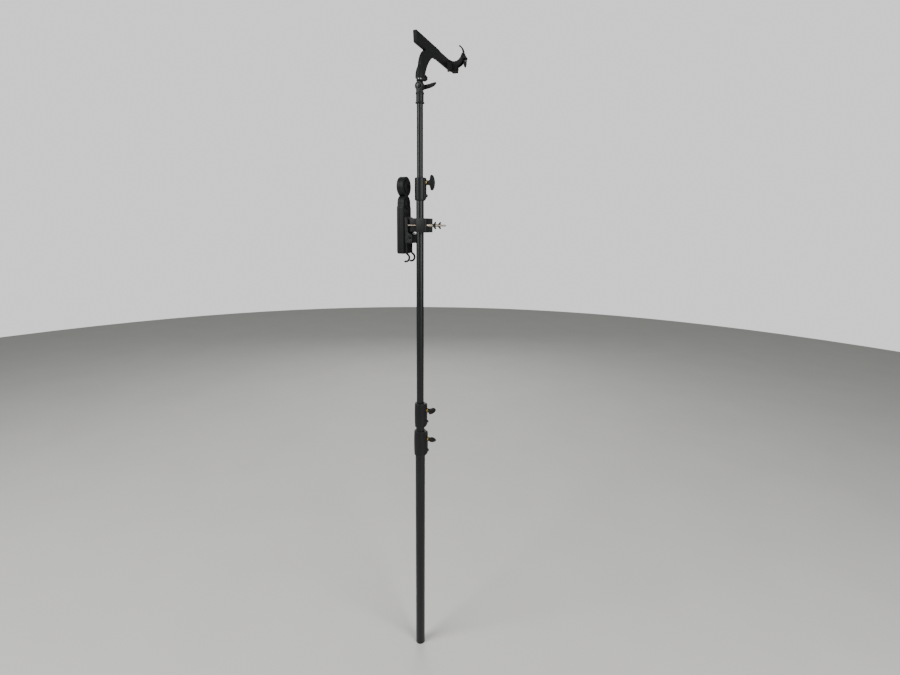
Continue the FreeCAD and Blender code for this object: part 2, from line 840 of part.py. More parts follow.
def stud_socket():
    """Metal insert between the shells that receives the head's stud."""
    top = bracket_level + size.stud_socket_length
    sleeve = cylinder(size.stud_socket_radius, bracket_level, top)
    tools = [
        cylinder(size.spigot_radius + size.running_gap, bracket_level - 1, stud_top + 1),
        cylinder(size.clamp_screw_radius + size.running_gap, 0, size.boss_radius, "+Y",
                 (0, 0, clamp_knob_level))]
    keep("stud_socket", cut(sleeve, tools))


def bracket_knob():
    """Round knob, with its moulded-in screw, that clamps the bracket on the stud."""
    body = new_body((0, 0, clamp_knob_level), TURNED_TO["+Y"])
    start = size.clamp_knob_start
    end = start + size.clamp_knob_length
    radius = size.clamp_knob_radius
    tip = size.spigot_neck_radius + 0.4
    turn(body, [
        (0, tip), (size.clamp_screw_radius, tip), (size.clamp_screw_radius, start),
        (radius - 3, start), (radius, start + 3), (radius, end - 3.5, 5, "left"),
        (radius - 4, end), (0, end)])
    flutes = []
    for step in range(8):
        angle = math.radians(45 * step + 22.5)
        ring = radius + 1.6
        centre = (ring * math.cos(angle), 0, clamp_knob_level + ring * math.sin(angle))
        flutes.append(cylinder(2.6, start - 1, end + 1, "+Y", centre))
    keep("bracket_knob", cut(body, flutes))


def roller_arm():
    """Flat bar whose tongue is held in the rail and whose far end carries the cradle."""
    body = new_body()
    gap = size.sliding_gap
    arm = pad(body, "YZ_Plane", [
        (size.tongue_start, tongue_bottom), (rail_end_at(tongue_bottom) + gap, tongue_bottom),
        (rail_end_at(rail_bottom) + gap, rail_bottom), (size.arm_end - size.arm_nose, rail_bottom),
        (size.arm_end, rail_bottom + size.arm_nose), (size.arm_end, rail_top),
        (rail_end_at(rail_top) + gap, rail_top), (rail_end_at(tongue_top) + gap, tongue_top),
        (size.tongue_start, tongue_top)], -size.arm_half_thickness, size.arm_half_thickness)
    faces = size.arm_half_thickness.value
    past_rail = size.rail_end_top.value + 2
    body.Tip = round_edges(
        body, arm, 0.8,
        lambda edge, middle: abs(abs(middle.x) - faces) < 0.01 and middle.y > past_rail)
    holes = [cylinder(size.bracket_screw_radius + size.seat_gap, -size.shell_thickness,
                      size.shell_thickness, "+X", centre) for centre in bracket_screw_places()]
    holes.append(cylinder(size.cradle_bolt_radius + size.seat_gap, -size.shell_thickness,
                          size.shell_thickness, "+X", cradle_bolt_centre))
    keep("roller_arm", cut(body, holes))


# ---------------------------------------------------------------- roller cradle

roller_level = bracket_level + size.roller_rise
cradle_low = size.cradle_centre - size.cradle_width / 2
cradle_high = size.cradle_centre + size.cradle_width / 2
cradle_radius = size.roller_radius + size.pad_thickness
cradle_bolt_centre = (0, size.cradle_centre, roller_level - size.cradle_bolt_drop)
latch_pivot = (size.roller_offset + size.latch_pivot_reach, 0,
               roller_level - size.latch_pivot_drop)
latch_low = size.cradle_centre - size.latch_width / 2
latch_high = size.cradle_centre + size.latch_width / 2


def on_circle(radius, drop):
    """Distance across from the roller's axis to a circle round it, at a drop below the axis."""
    square = (radius.value ** 2 - as_size(drop).value ** 2) ** 0.5
    drop = as_size(drop)
    text = "sqrt(" + radius.text + " ^ 2 - (" + drop.text + ") ^ 2)"
    return Size(square, text)


def below_circle(radius, across):
    """Drop from the roller's axis to a circle round it, at a distance across from the axis."""
    return on_circle(radius, across)


def cradle():
    """Saddle for the roller's end, with cheeks that carry the latch and a block for its bolt."""
    across = size.roller_offset
    face = size.arm_half_thickness
    left_drop = below_circle(cradle_radius, across - face)
    tip_across = across + on_circle(cradle_radius, size.cradle_tip_drop)
    tip = roller_level - size.cradle_tip_drop
    bottom = roller_level - size.cradle_block_bottom
    shoulder = roller_level - size.cradle_block_top
    bend = cradle_radius + 8
    body = new_body()
    pad(body, "XZ_Plane", [
        (face, bottom + 5), (face + 6, bottom), (size.cradle_block_reach - 1, bottom),
        (size.cradle_block_reach, bottom + 1), (size.cradle_block_reach, shoulder),
        (across + 20, roller_level - 34.5), (across + 27.5, roller_level - 27, bend, "left"),
        (tip_across + size.cradle_tip_wall + 1, tip - 6), (tip_across + size.cradle_tip_wall, tip),
        (tip_across, tip, cradle_radius, "right"), (across, roller_level - cradle_radius,
                                                    cradle_radius, "right"),
        (face, roller_level - left_drop)], cradle_low, cradle_high)
    gusset_top = roller_level - cradle_radius - 1
    pad(body, "XY_Plane", [
        (face, cradle_low - size.gusset_length), (face + size.gusset_reach, cradle_low),
        (face + size.gusset_reach, cradle_low + 2), (face, cradle_low + 2)],
        bottom + 5, gusset_top)
    ear_radius = size.latch_knuckle_radius + 0.5
    ears = fused([
        cylinder(ear_radius, cradle_low, cradle_high, "+Y", latch_pivot),
        block((across + 27, cradle_low, roller_level - size.latch_pivot_drop - ear_radius),
              (latch_pivot[0], cradle_high, roller_level - size.latch_pivot_drop + ear_radius))])
    skin = cradle_radius + size.cradle_skin
    slot_low = latch_low - size.latch_side_gap
    slot_high = latch_high + size.latch_side_gap
    slot = cut(block((size.cradle_block_reach + 5, slot_low, bottom - 1),
                     (latch_pivot[0] + 20, slot_high, roller_level + 20)),
               [cylinder(skin, slot_low - 1, slot_high + 1, "+Y", (across, 0, roller_level))])
    well = cylinder(cradle_radius, cradle_low - 1, cradle_high + 1, "+Y",
                    (across, 0, roller_level))
    tools = [
        slot, well,
        cylinder(size.latch_pin_radius + size.seat_gap, cradle_low - 1, cradle_high + 1, "+Y",
                 latch_pivot),
        cylinder(size.cradle_bolt_radius + size.seat_gap, 0, size.cradle_block_reach + 1, "+X",
                 cradle_bolt_centre)]
    keep("cradle", cut(fused([body, ears]), tools))


def cradle_pad():
    """Rubber lining between the saddle and the roller."""
    across = size.roller_offset
    outer = cradle_radius - size.seat_gap
    inner = size.roller_radius
    left = across - size.arm_half_thickness - 2
    low_outer = below_circle(outer, left)
    low_inner = below_circle(inner, left)
    drop = size.cradle_tip_drop + 1.5
    body = new_body()
    pad(body, "XZ_Plane", [
        (across - left, roller_level - low_outer, outer, "left"),
        (across, roller_level - outer, outer, "left"),
        (across + on_circle(outer, drop), roller_level - drop),
        (across + on_circle(inner, drop), roller_level - drop, inner, "right"),
        (across, roller_level - inner, inner, "right"),
        (across - left, roller_level - low_inner)], cradle_low, cradle_high)
    keep("cradle_pad", body)


def latch():
    """Sprung finger over the roller, with an eye and a thumb tab below its pin."""
    body = new_body(latch_pivot)
    strip = size.latch_strip
    knuckle = size.latch_knuckle_radius
    reach = size.latch_pivot_reach
    rise = size.latch_pivot_drop
    inner = size.roller_radius + 1.2
    tip_across = Size(12.2) - reach
    tip_rise = rise + on_circle(inner, 12.2)
    mid_across = Size(23.5) - reach
    mid_rise = rise + on_circle(inner, 23.5)
    pad(body, "XZ_Plane", [
        (-knuckle, 0), (knuckle, 0), (knuckle - 0.5, 10, 40, "left"),
        (mid_across + strip, mid_rise + strip * 0.6, 60, "left"),
        (tip_across + strip * 0.6, tip_rise + strip * 0.9), (tip_across, tip_rise + strip * 0.4),
        (tip_across + 0.4, tip_rise, inner + 4, "right"), (mid_across, mid_rise),
        (-0.4, 14), (-knuckle + 0.5, 6)], latch_low, latch_high)
    tab = pad(body, "XZ_Plane", [
        (-knuckle + 0.2, -size.latch_eye_drop - 4), (-5, -19), (-2, -30), (0, -30), (4, -20),
        (3, -size.latch_eye_drop - 4)], latch_low, latch_high)
    body.Tip = tab
    eye_centre = (latch_pivot[0] - 1, 0, latch_pivot[2] - size.latch_eye_drop)
    solid = fused([
        body, cylinder(knuckle, latch_low, latch_high, "+Y", latch_pivot),
        cylinder(size.latch_eye_radius, latch_low, latch_high, "+Y", eye_centre)])
    tools = [
        cylinder(size.latch_pin_radius + size.running_gap, latch_low - 1, latch_high + 1, "+Y",
                 latch_pivot),
        cylinder(size.latch_eye_hole, latch_low - 1, latch_high + 1, "+Y", eye_centre)]
    keep("latch", cut(solid, tools))
    keep("latch_pin", cylinder(size.latch_pin_radius, cradle_low, cradle_high, "+Y", latch_pivot))


def bracket_fasteners():
    """Two shell screws and the bolt and nut that hold the cradle on the arm."""
    parts = []
    for centre in bracket_screw_places():
        face = size.shell_thickness
        parts.append(fused([
            cylinder(size.bracket_screw_radius, -face + 1.6, face, "+X", centre),
            cylinder(size.bracket_screw_head_radius, face, face + size.bracket_screw_head, "+X",
                     centre)]))
    reach = size.cradle_block_reach
    nut_start = -size.arm_half_thickness - size.cradle_bolt_head
    parts.append(fused([
        cylinder(size.cradle_bolt_radius, nut_start, reach, "+X", cradle_bolt_centre),
        cylinder(size.cradle_bolt_head_radius, nut_start, -size.arm_half_thickness, "+X",
                 cradle_bolt_centre),
        cylinder(size.cradle_bolt_head_radius, reach, reach + size.cradle_bolt_head, "+X",
                 cradle_bolt_centre)]))
    keep("bracket_fasteners", group(parts))


# ---------------------------------------------------------------- clamp and hanger unit

jaw_low = size.clamp_level - size.jaw_height / 2
jaw_high = size.clamp_level + size.jaw_height / 2
grip_radius = size.second_diameter / 2 + size.sliding_gap


def rod_places():
    """The two rods lie either side of the riser, the near one first."""
    return [(0, -size.rod_spread, size.clamp_level), (0, size.rod_spread, size.clamp_level)]


def outer_jaw():
    """Jaw on the knob side of the riser, which slides on both rods."""
    body = new_body()
    low_face = -size.jaw_parting
    shape = pad(body, "XY_Plane", [
        (low_face, -size.jaw_half_width), (size.jaw_reach, -size.jaw_half_width),
        (size.jaw_reach, size.jaw_half_width), (low_face, size.jaw_half_width)],
        jaw_low, jaw_high)
    levels = (jaw_low.value, jaw_high.value)
    body.Tip = round_edges(
        body, shape, size.jaw_rounding,
        lambda edge, middle: min(abs(middle.z - level) for level in levels) > 1)
    tools = [cylinder(grip_radius, jaw_low - 1, jaw_high + 1),
             block((low_face - 1, -grip_radius, jaw_low - 1), (0, grip_radius, jaw_high + 1))]
    for centre in rod_places():
        tools.append(cylinder(size.rod_radius + size.running_gap, low_face - 1,
                              size.jaw_reach + 1, "+X", centre))
    keep("outer_jaw", cut(body, tools))


def clamp_block():
    """Block on the hanger's face with the inner jaw, both rods' roots and both hooks' seats."""
    face = -size.hanger_face
    front = -size.block_face
    foot = -size.block_foot_reach
    foot_top = size.block_bottom + size.block_foot_height
    body = new_body()
    main = pad(body, "XZ_Plane", [
        (face, size.block_bottom), (foot - 3, size.block_bottom), (foot, size.block_bottom + 3),
        (foot, foot_top - 6), (front, foot_top + 3), (front, size.block_top - 8),
        (front - 5, size.block_top), (face, size.block_top)],
        -size.block_half_width, size.block_half_width)
    sides = size.block_half_width.value
    body.Tip = round_edges(
        body, main, 1.5,
        lambda edge, middle: abs(abs(middle.y) - sides) < 0.01 and middle.x > face.value + 1)
    parting = -size.jaw_parting - 1.5
    jaw = block((front - 1, -size.inner_jaw_half_width, jaw_low + 1),
                (parting, size.inner_jaw_half_width, jaw_high))
    tools = [cylinder(grip_radius, jaw_low - 1, jaw_high + 1)]
    for centre in rod_places():
        tools.append(cylinder(size.rod_radius + size.seat_gap, -size.rod_inner_end, 0, "+X",
                              centre))
    for side in (-1, 1):
        tools.append(cylinder(size.hook_rod_radius + size.running_gap, size.block_bottom - 1,
                              size.block_bottom + size.hook_seat + 1, "+Z",
                              (-size.hook_offset, side * size.rod_spread, 0)))
    tools.append(cylinder(size.block_eye_radius, -size.block_half_width - 1,
                          size.block_half_width + 1, "+Y",
                          (foot - 6, 0, size.block_bottom + size.block_foot_height / 2)))
    keep("clamp_block", cut(fused([body, jaw]), tools))


def clamp_rods():
    """Threaded rods, their plated sleeves and the wing nuts that close the jaws."""
    keep("clamp_rods", group([
        cylinder(size.rod_radius, -size.rod_inner_end, size.rod_reach, "+X", centre)
        for centre in rod_places()]))
    sleeves = []
    for centre in rod_places():
        tube = cylinder(size.sleeve_radius, size.jaw_reach, size.nut_start, "+X", centre)
        bore = cylinder(size.rod_radius + size.running_gap, size.jaw_reach - 1,
                        size.nut_start + 1, "+X", centre)
        sleeves.append(cut(tube, [bore]))
    keep("rod_sleeves", group(sleeves))


def wing_nut(label, centre):
    """Wing nut: a tapered hub and two wings that flare forwards."""
    start = size.nut_start
    end = start + size.nut_hub_length
    hub_radius = size.nut_hub_radius
    span = size.nut_wing_span
    hub = new_body(centre)
    turn(hub, [(start, 0), (end, 0), (end, hub_radius - 1.2), (start, hub_radius)], "H_Axis")
    half = size.nut_wing_thickness / 2
    parts = [hub]
    for facing in (0, 180):
        wing = new_body(centre, Rotation(Vector(1, 0, 0), facing))
        blade = pad(wing, "XZ_Plane", [
            (start + 2, 2), (end - 1, 2), (end + 2, span - 3, 2.5, "left"), (start + 7, span, 9, "left"),
            (start + 3.5, span - 2), (start + 2, hub_radius)], -half, half)
        faces = half.value
        wing.Tip = round_edges(wing, blade, 0.9,
                               lambda edge, middle: abs(abs(middle.y) - faces) < 0.01)
        parts.append(wing)
    bore = cylinder(size.rod_radius + size.running_gap, start - 1, end + 3, "+X", centre)
    keep(label, cut(fused(parts), [bore]))


def hanger_outline():
    """Front view of the hanger unit: a case with two round lobes above its shoulders."""
    half = size.hanger_half_width
    corner = size.hanger_corner
    bottom = size.hanger_bottom
    shoulder = size.hanger_shoulder_half
    lower_lobe, upper_lobe = size.lower_lobe_radius, size.upper_lobe_radius
    right = [
        (half - corner, bottom, corner, "left"), (half, bottom + corner),
        (shoulder, size.hanger_shoulder), (lower_lobe, size.lower_lobe_level - 5),
        (lower_lobe, size.lower_lobe_level, lower_lobe, "left"),
        (size.waist_half, size.waist_level, upper_lobe, "left"),
        (upper_lobe, size.upper_lobe_level, upper_lobe, "left")]
    left = [
        (0, size.upper_lobe_level + upper_lobe, upper_lobe, "left"),
        (-upper_lobe, size.upper_lobe_level, upper_lobe, "left"),
        (-size.waist_half, size.waist_level, lower_lobe, "left"),
        (-lower_lobe, size.lower_lobe_level), (-lower_lobe, size.lower_lobe_level - 5),
        (-shoulder, size.hanger_shoulder), (-half, bottom + corner, corner, "left"),
        (corner - half, bottom)]
    return right + left


def hanger_shell(body, low, high, outer_face):
    """One half of the case, with the rim of its outer face rounded."""
    shape = pad(body, "YZ_Plane", hanger_outline(), low, high)
    face = outer_face.value
    return round_edges(body, shape, size.hanger_rounding,
                       lambda edge, middle: abs(middle.x - face) < 0.01)


def hanger_cavity(low, high):
    """The hollow inside the case."""
    wall = size.hanger_wall
    half = size.hanger_shoulder_half - wall
    return block((low, -half, size.hanger_bottom + wall * 2),
                 (high, half, size.hanger_shoulder - wall * 2))


def disc_places():
    """Label, level and radius of each disc, from the bottom up."""
    return [("lower_disc", size.lower_lobe_level, size.lower_disc_radius),
            ("upper_disc", size.upper_lobe_level, size.upper_disc_radius)]


def hanger_case():
    """Back and front halves of the hanger's case; the front one carries both discs' axles."""
    back, parting, face = -size.hanger_back, -size.hanger_parting, -size.hanger_face
    wall = size.hanger_wall
    body = new_body()
    body.Tip = hanger_shell(body, back, parting, back)
    keep("hanger_back_shell", cut(body, [hanger_cavity(back + wall, parting + 1)]))
    front = new_body()
    front.Tip = hanger_shell(front, parting, face, face)
    tools = [hanger_cavity(parting - 1, face - wall)]
    floor = face - size.disc_thickness + size.disc_proud - size.sliding_gap
    for label, level, radius in disc_places():
        well = cylinder(radius + size.disc_groove, floor, face + 1, "+X", (0, 0, level))
        axle = cylinder(size.axle_radius, floor - 1, face + 1, "+X", (0, 0, level))
        tools.append(cut(well, [axle]))
    lean = Rotation(Vector(1, 0, 0), size.vent_slant.value)
    for step in (-1, 0, 1):
        vent = doc.addObject("Part::Box", "Vent")
        bind(vent, "Length", wall + 2)
        bind(vent, "Width", size.vent_width)
        bind(vent, "Height", size.vent_length)
        tools.append(place(vent, (face - wall - 1, step * size.vent_spacing,
                                  size.vent_level - size.vent_length / 2), lean))
    keep("hanger_front_shell", cut(front, tools))


def hanger_disc(label, level, radius):
    """Disc on its axle, with a groove round its face and a recess at its hub."""
    face = -size.hanger_face + size.disc_proud
    back = face - size.disc_thickness
    bore = size.axle_radius + size.running_gap
    recess = size.disc_hub_recess
    body = new_body((0, 0, level))
    turn(body, [
        (back, bore), (face - 3, bore), (face - 3, recess), (face, recess + 0.6),
        (face, radius * 0.66), (face - 1.6, radius * 0.7), (face - 1.6, radius * 0.78),
        (face - 0.4, radius * 0.82), (face - 0.4, radius - 1), (face - 1.4, radius),
        (back, radius)], "H_Axis")
    keep(label, body)


def hook(label, side):
    """Hook of round rod: down out of its seat, out and back under itself."""
    top = size.block_bottom + size.hook_seat
    body = new_body((-size.hook_offset, side * size.rod_spread, top))
    first, second = size.hook_first_bend, size.hook_second_bend
    drop, offset, tip = size.hook_drop, size.hook_centre_offset, size.hook_tip_offset
    turned = math.acos((first.value - offset.value) / (first.value + second.value))
    start_second = turned
    end_second = -math.acos((tip.value - offset.value) / second.value)
    centre_first = Vector(first.value, -drop.value, 0)
    centre_second = Vector(
        offset.value, -drop.value - (first.value + second.value) * math.sin(turned), 0)
    path = new_sketch(body, "XZ_Plane")
    path.addGeometry(Part.LineSegment(Vector(0, 0, 0), Vector(0, -drop.value, 0)), False)
    path.addGeometry(Part.ArcOfCircle(Part.Circle(centre_first, Vector(0, 0, 1), first.value),
                                      math.pi, math.pi + turned), False)
    path.addGeometry(Part.ArcOfCircle(Part.Circle(centre_second, Vector(0, 0, 1), second.value),
                                      end_second, start_second), False)
    path.addConstraint(Sketcher.Constraint("Coincident", 0, 1, -1, 1))
    path.addConstraint(Sketcher.Constraint("Vertical", 0))
    path.addConstraint(Sketcher.Constraint("Tangent", 0, 2, 1, 1))
    path.addConstraint(Sketcher.Constraint("Tangent", 1, 2, 2, 2))
    for kind, target, reading in (
            ("DistanceY", (0, 2, -1, 1), drop), ("Radius", (1,), first), ("Radius", (2,), second),
            ("DistanceX", (-1, 1, 2, 3), offset), ("DistanceX", (-1, 1, 2, 1), tip)):
        rule = path.addConstraint(Sketcher.Constraint(kind, *target, reading.value))
        bind(path, "Constraints[%d]" % rule, reading)
    section = new_sketch(body, "XY_Plane")
    section.addGeometry(Part.Circle(Vector(0, 0, 0), Vector(0, 0, 1), size.hook_rod_radius.value))
    section.addConstraint(Sketcher.Constraint("Coincident", 0, 3, -1, 1))
    rule = section.addConstraint(Sketcher.Constraint("Radius", 0, size.hook_rod_radius.value))
    bind(section, "Constraints[%d]" % rule, size.hook_rod_radius)
    doc.recompute()
    pipe = body.newObject("PartDesign::AdditivePipe", "Pipe")
    pipe.Profile = section
    pipe.Spine = (path, ["Edge1", "Edge2", "Edge3"])
    keep(label, body)


# ---------------------------------------------------------------- assembly

def build_column():
    """The four tubes with everything that joins and locks them."""
    foot_cap()
    pole_tube("base_tube", size.base_diameter / 2, size.base_wall, size.foot_flange,
              lower.tube_top, lower, relieved=True)
    first_foot = middle.tube_top - size.first_length
    pole_tube("first_riser", size.first_diameter / 2, size.riser_wall, first_foot,
              middle.tube_top, middle)
    riser_guide("first_riser_guide", lower, first_foot)
    second_foot = upper.tube_top - size.second_length
    pole_tube("second_riser", size.second_diameter / 2, size.riser_wall, second_foot,
              upper.tube_top, upper)
    riser_guide("second_riser_guide", middle, second_foot)
    third_top = head_level - size.spigot_shoulder
    third_foot = third_top - size.third_length
    pole_tube("third_riser", size.third_diameter / 2, size.riser_wall, third_foot, third_top)
    riser_guide("third_riser_guide", upper, third_foot)
    for stage, lean in ((lower, 64), (middle, 88), (upper, 4)):
        collar(stage)
        collar_bushing(stage)
        brake_parts(stage)
        pinch_bolt(stage)
        t_knob(stage, lean)


def build_head():
    """The swivelling and tilting head."""
    top_spigot()
    swivel_socket()
    swivel_head()
    pivot_parts()
    head_stud()
    pivot_lever()


def build_bracket():
    """The bracket with its arm and the roller cradle."""
    bracket_shell("bracket_right_shell", 1)
    bracket_shell("bracket_left_shell", -1)
    stud_socket()
    bracket_knob()
    roller_arm()
    cradle()
    cradle_pad()
    latch()
    bracket_fasteners()


def build_hanger():
    """The clamp on the upper riser and the hanger unit on it."""
    outer_jaw()
    clamp_block()
    clamp_rods()
    for label, centre in zip(("front_wing_nut", "rear_wing_nut"), rod_places()):
        wing_nut(label, centre)
    hanger_case()
    for label, level, radius in disc_places():
        hanger_disc(label, level, radius)
    hook("front_hook", -1)
    hook("rear_hook", 1)


def check_and_export():
    """Stop on any failed object or shape, then write one STEP file for each node."""
    doc.recompute()
    failed = []
    for thing in doc.Objects:
        shape = getattr(thing, "Shape", None)
        bad_shape = shape is not None and (shape.isNull() or not shape.isValid())
        if bad_shape or "Invalid" in thing.State or "Error" in thing.State:
            failed.append(thing.Label)
    failed += [label for label, thing in nodes.items() if not thing.Shape.Solids]
    if failed:
        raise RuntimeError("failed: " + ", ".join(failed))
    os.makedirs("parts", exist_ok=True)
    for label, thing in nodes.items():
        thing.Shape.exportStep(os.path.join("parts", label + ".step"))
    print(len(nodes), "nodes written")


build_column()
build_head()
build_bracket()
build_hanger()
check_and_export()
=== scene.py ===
"""Looks of a telescopic roller support pole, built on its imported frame.

Lengths inside the classes are millimetres in the frame's own axes; meshes are written in metres.
"""

import json
import logging
import math
from dataclasses import dataclass, field, replace
from enum import Enum
from typing import Callable, Optional, Sequence

import bmesh
import bpy
import numpy as np
from mathutils import Matrix, Vector
from mathutils.geometry import tessellate_polygon

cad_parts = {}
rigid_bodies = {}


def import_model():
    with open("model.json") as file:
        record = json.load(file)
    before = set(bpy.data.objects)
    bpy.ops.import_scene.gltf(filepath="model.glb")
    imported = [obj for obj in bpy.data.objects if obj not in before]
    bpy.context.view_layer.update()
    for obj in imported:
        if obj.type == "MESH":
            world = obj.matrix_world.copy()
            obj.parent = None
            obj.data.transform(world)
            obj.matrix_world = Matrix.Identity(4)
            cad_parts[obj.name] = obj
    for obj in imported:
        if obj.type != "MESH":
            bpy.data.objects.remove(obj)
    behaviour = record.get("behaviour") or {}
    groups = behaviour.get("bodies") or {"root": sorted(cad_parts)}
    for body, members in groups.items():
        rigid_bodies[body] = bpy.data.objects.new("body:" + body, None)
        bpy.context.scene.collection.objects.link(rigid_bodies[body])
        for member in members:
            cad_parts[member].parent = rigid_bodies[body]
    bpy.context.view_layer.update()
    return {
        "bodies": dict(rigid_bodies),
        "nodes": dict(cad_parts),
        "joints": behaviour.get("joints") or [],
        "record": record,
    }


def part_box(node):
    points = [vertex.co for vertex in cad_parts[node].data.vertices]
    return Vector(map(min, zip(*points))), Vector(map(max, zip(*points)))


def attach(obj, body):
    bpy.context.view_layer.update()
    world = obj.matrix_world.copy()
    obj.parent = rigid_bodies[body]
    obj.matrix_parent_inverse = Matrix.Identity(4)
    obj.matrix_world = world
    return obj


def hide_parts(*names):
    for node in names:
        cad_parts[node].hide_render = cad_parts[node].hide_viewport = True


LOG = logging.getLogger("support_pole")
Array = np.ndarray
MM = 0.001
FULL_TURN = 2 * math.pi


# ------------------------------------------------------------------ colours and nodes


def linear(code: str) -> tuple[float, float, float, float]:
    """Turn an sRGB hex colour into the linear values that shaders take.

    Args:
        code: A colour such as "#1a1b1d".

    Returns:
        Linear red, green, blue and an alpha of one.
    """
    parts = [int(code[i : i + 2], 16) / 255 for i in (1, 3, 5)]
    lit = [p / 12.92 if p <= 0.04045 else ((p + 0.055) / 1.055) ** 2.4 for p in parts]
    return (lit[0], lit[1], lit[2], 1.0)


def add_node(
    tree: bpy.types.NodeTree, kind: str, settings: dict, links: Optional[dict] = None
) -> bpy.types.Node:
    """Add one node with its settings and its incoming links.

    Args:
        tree: The node tree to add to.
        kind: Blender's name of the node type.
        settings: Property names to values; a name that is an input socket sets its default.
        links: Input socket names or numbers to the output sockets that feed them.

    Returns:
        The new node.
    """
    node = tree.nodes.new(kind)
    for name, value in settings.items():
        if isinstance(name, int) or name in node.inputs:
            node.inputs[name].default_value = value
        else:
            setattr(node, name, value)
    for name, source in (links or {}).items():
        tree.links.new(source, node.inputs[name])
    return node


class Slot(Enum):
    """The record's material slots."""

    POWDER = "powder_black"
    MOULDED = "moulded_black"
    CASE = "case_black"
    NYLON = "nylon"
    BRASS = "brass"
    ZINC = "zinc"
    CHROME = "chrome"
    RUBBER = "rubber"
    BRONZED = "bronzed_steel"
    OXIDE = "black_oxide"


@dataclass(frozen=True)
class Finish:
    """A real surface finish, as base colour, gloss and three real-sized patterns.

    Every pattern is laid out in Object coordinates, which are the frame's own metres.

    Attributes:
        name: What the finish is called in the workshop.
        colour: Main sRGB colour.
        tint: Second sRGB colour that slow clouds of the surface lean to.
        cloud_mm: Size of those clouds.
        roughness: Mean roughness.
        roughness_play: How far roughness wanders either way.
        grain_mm: Spacing of the fine grain that the bump follows.
        grain_depth_mm: Height of that grain.
        stretch: How much the grain and scuffs are drawn out along the pole's axis.
        scuff: Share of the surface that shows fine rub marks.
        scuff_colour: sRGB colour of the rub marks and of worn edges.
        metallic: Metalness of the shader.
        specular: How strongly the surface mirrors, on the shader's own scale.
        coat: Weight of a clear coat.
    """

    name: str
    colour: str
    tint: str
    cloud_mm: float
    roughness: float
    roughness_play: float
    grain_mm: float
    grain_depth_mm: float
    stretch: float = 1.0
    scuff: float = 0.0
    scuff_colour: str = "#4a4b4d"
    metallic: float = 0.0
    specular: float = 0.5
    coat: float = 0.0

    def material(self) -> bpy.types.Material:
        """Build the node material once and reuse it.

        Returns:
            The Blender material of this finish.
        """
        found = bpy.data.materials.get(self.name)
        if found:
            return found
        made = bpy.data.materials.new(self.name)
        made.use_nodes = True
        tree = made.node_tree
        tree.nodes.clear()
        place = add_node(tree, "ShaderNodeTexCoord", {})
        drawn = add_node(
            tree, "ShaderNodeMapping", {"Scale": (1.0, 1.0, 1.0 / self.stretch)},
            {"Vector": place.outputs["Object"]},
        )
        clouds = add_node(
            tree, "ShaderNodeTexNoise", {"Scale": 1000 / self.cloud_mm, "Detail": 4.0},
            {"Vector": place.outputs["Object"]},
        )
        grain = add_node(
            tree, "ShaderNodeTexNoise",
            {"Scale": 1000 / self.grain_mm, "Detail": 3.0, "Roughness": 0.6},
            {"Vector": drawn.outputs["Vector"]},
        )
        tone = add_node(
            tree, "ShaderNodeMix",
            {"data_type": "RGBA", 6: linear(self.colour), 7: linear(self.tint)},
            {0: clouds.outputs["Fac"]},
        )
        colour_out = tone.outputs[2]
        if self.scuff > 0:
            colour_out = self._scuffs(tree, drawn, colour_out)
        low, high = self.roughness - self.roughness_play, self.roughness + self.roughness_play
        gloss = add_node(
            tree, "ShaderNodeMapRange",
            {"From Min": 0.3, "From Max": 0.7, "To Min": low, "To Max": high},
            {"Value": grain.outputs["Fac"]},
        )
        bump = add_node(
            tree, "ShaderNodeBump",
            {"Strength": 1.0, "Distance": self.grain_depth_mm * MM},
            {"Height": grain.outputs["Fac"]},
        )
        shader = add_node(
            tree, "ShaderNodeBsdfPrincipled",
            {"Metallic": self.metallic, "Specular IOR Level": self.specular,
             "Coat Weight": self.coat, "Coat Roughness": 0.25},
            {
                "Base Color": colour_out,
                "Roughness": gloss.outputs["Result"],
                "Normal": bump.outputs["Normal"],
            },
        )
        add_node(tree, "ShaderNodeOutputMaterial", {}, {"Surface": shader.outputs["BSDF"]})
        return made

    def _scuffs(
        self, tree: bpy.types.NodeTree, drawn: bpy.types.Node, under: bpy.types.NodeSocket
    ) -> bpy.types.NodeSocket:
        """Lay fine rub marks and worn edges over a colour.

        Args:
            tree: The material's tree.
            drawn: The node that stretches coordinates along the pole.
            under: The colour to lay them on.

        Returns:
            The colour with the marks.
        """
        marks = add_node(
            tree, "ShaderNodeTexNoise", {"Scale": 1000 / 3.0, "Detail": 8.0, "Roughness": 0.75},
            {"Vector": drawn.outputs["Vector"]},
        )
        patchy = add_node(
            tree, "ShaderNodeMapRange",
            {"From Min": 0.60, "From Max": 0.74, "To Min": 0.0, "To Max": self.scuff},
            {"Value": marks.outputs["Fac"]},
        )
        edges = add_node(tree, "ShaderNodeAttribute", {"attribute_name": "wear"})
        broken = add_node(
            tree, "ShaderNodeMapRange",
            {"From Min": 0.42, "From Max": 0.62, "To Min": 0.0, "To Max": 0.55},
            {"Value": marks.outputs["Fac"]},
        )
        worn = add_node(
            tree, "ShaderNodeMath", {"operation": "MULTIPLY"},
            {0: edges.outputs["Fac"], 1: broken.outputs["Result"]},
        )
        both = add_node(
            tree, "ShaderNodeMath", {"operation": "MAXIMUM"},
            {0: patchy.outputs["Result"], 1: worn.outputs["Value"]},
        )
        laid = add_node(
            tree, "ShaderNodeMix", {"data_type": "RGBA", 7: linear(self.scuff_colour)},
            {0: both.outputs["Value"], 6: under},
        )
        return laid.outputs[2]


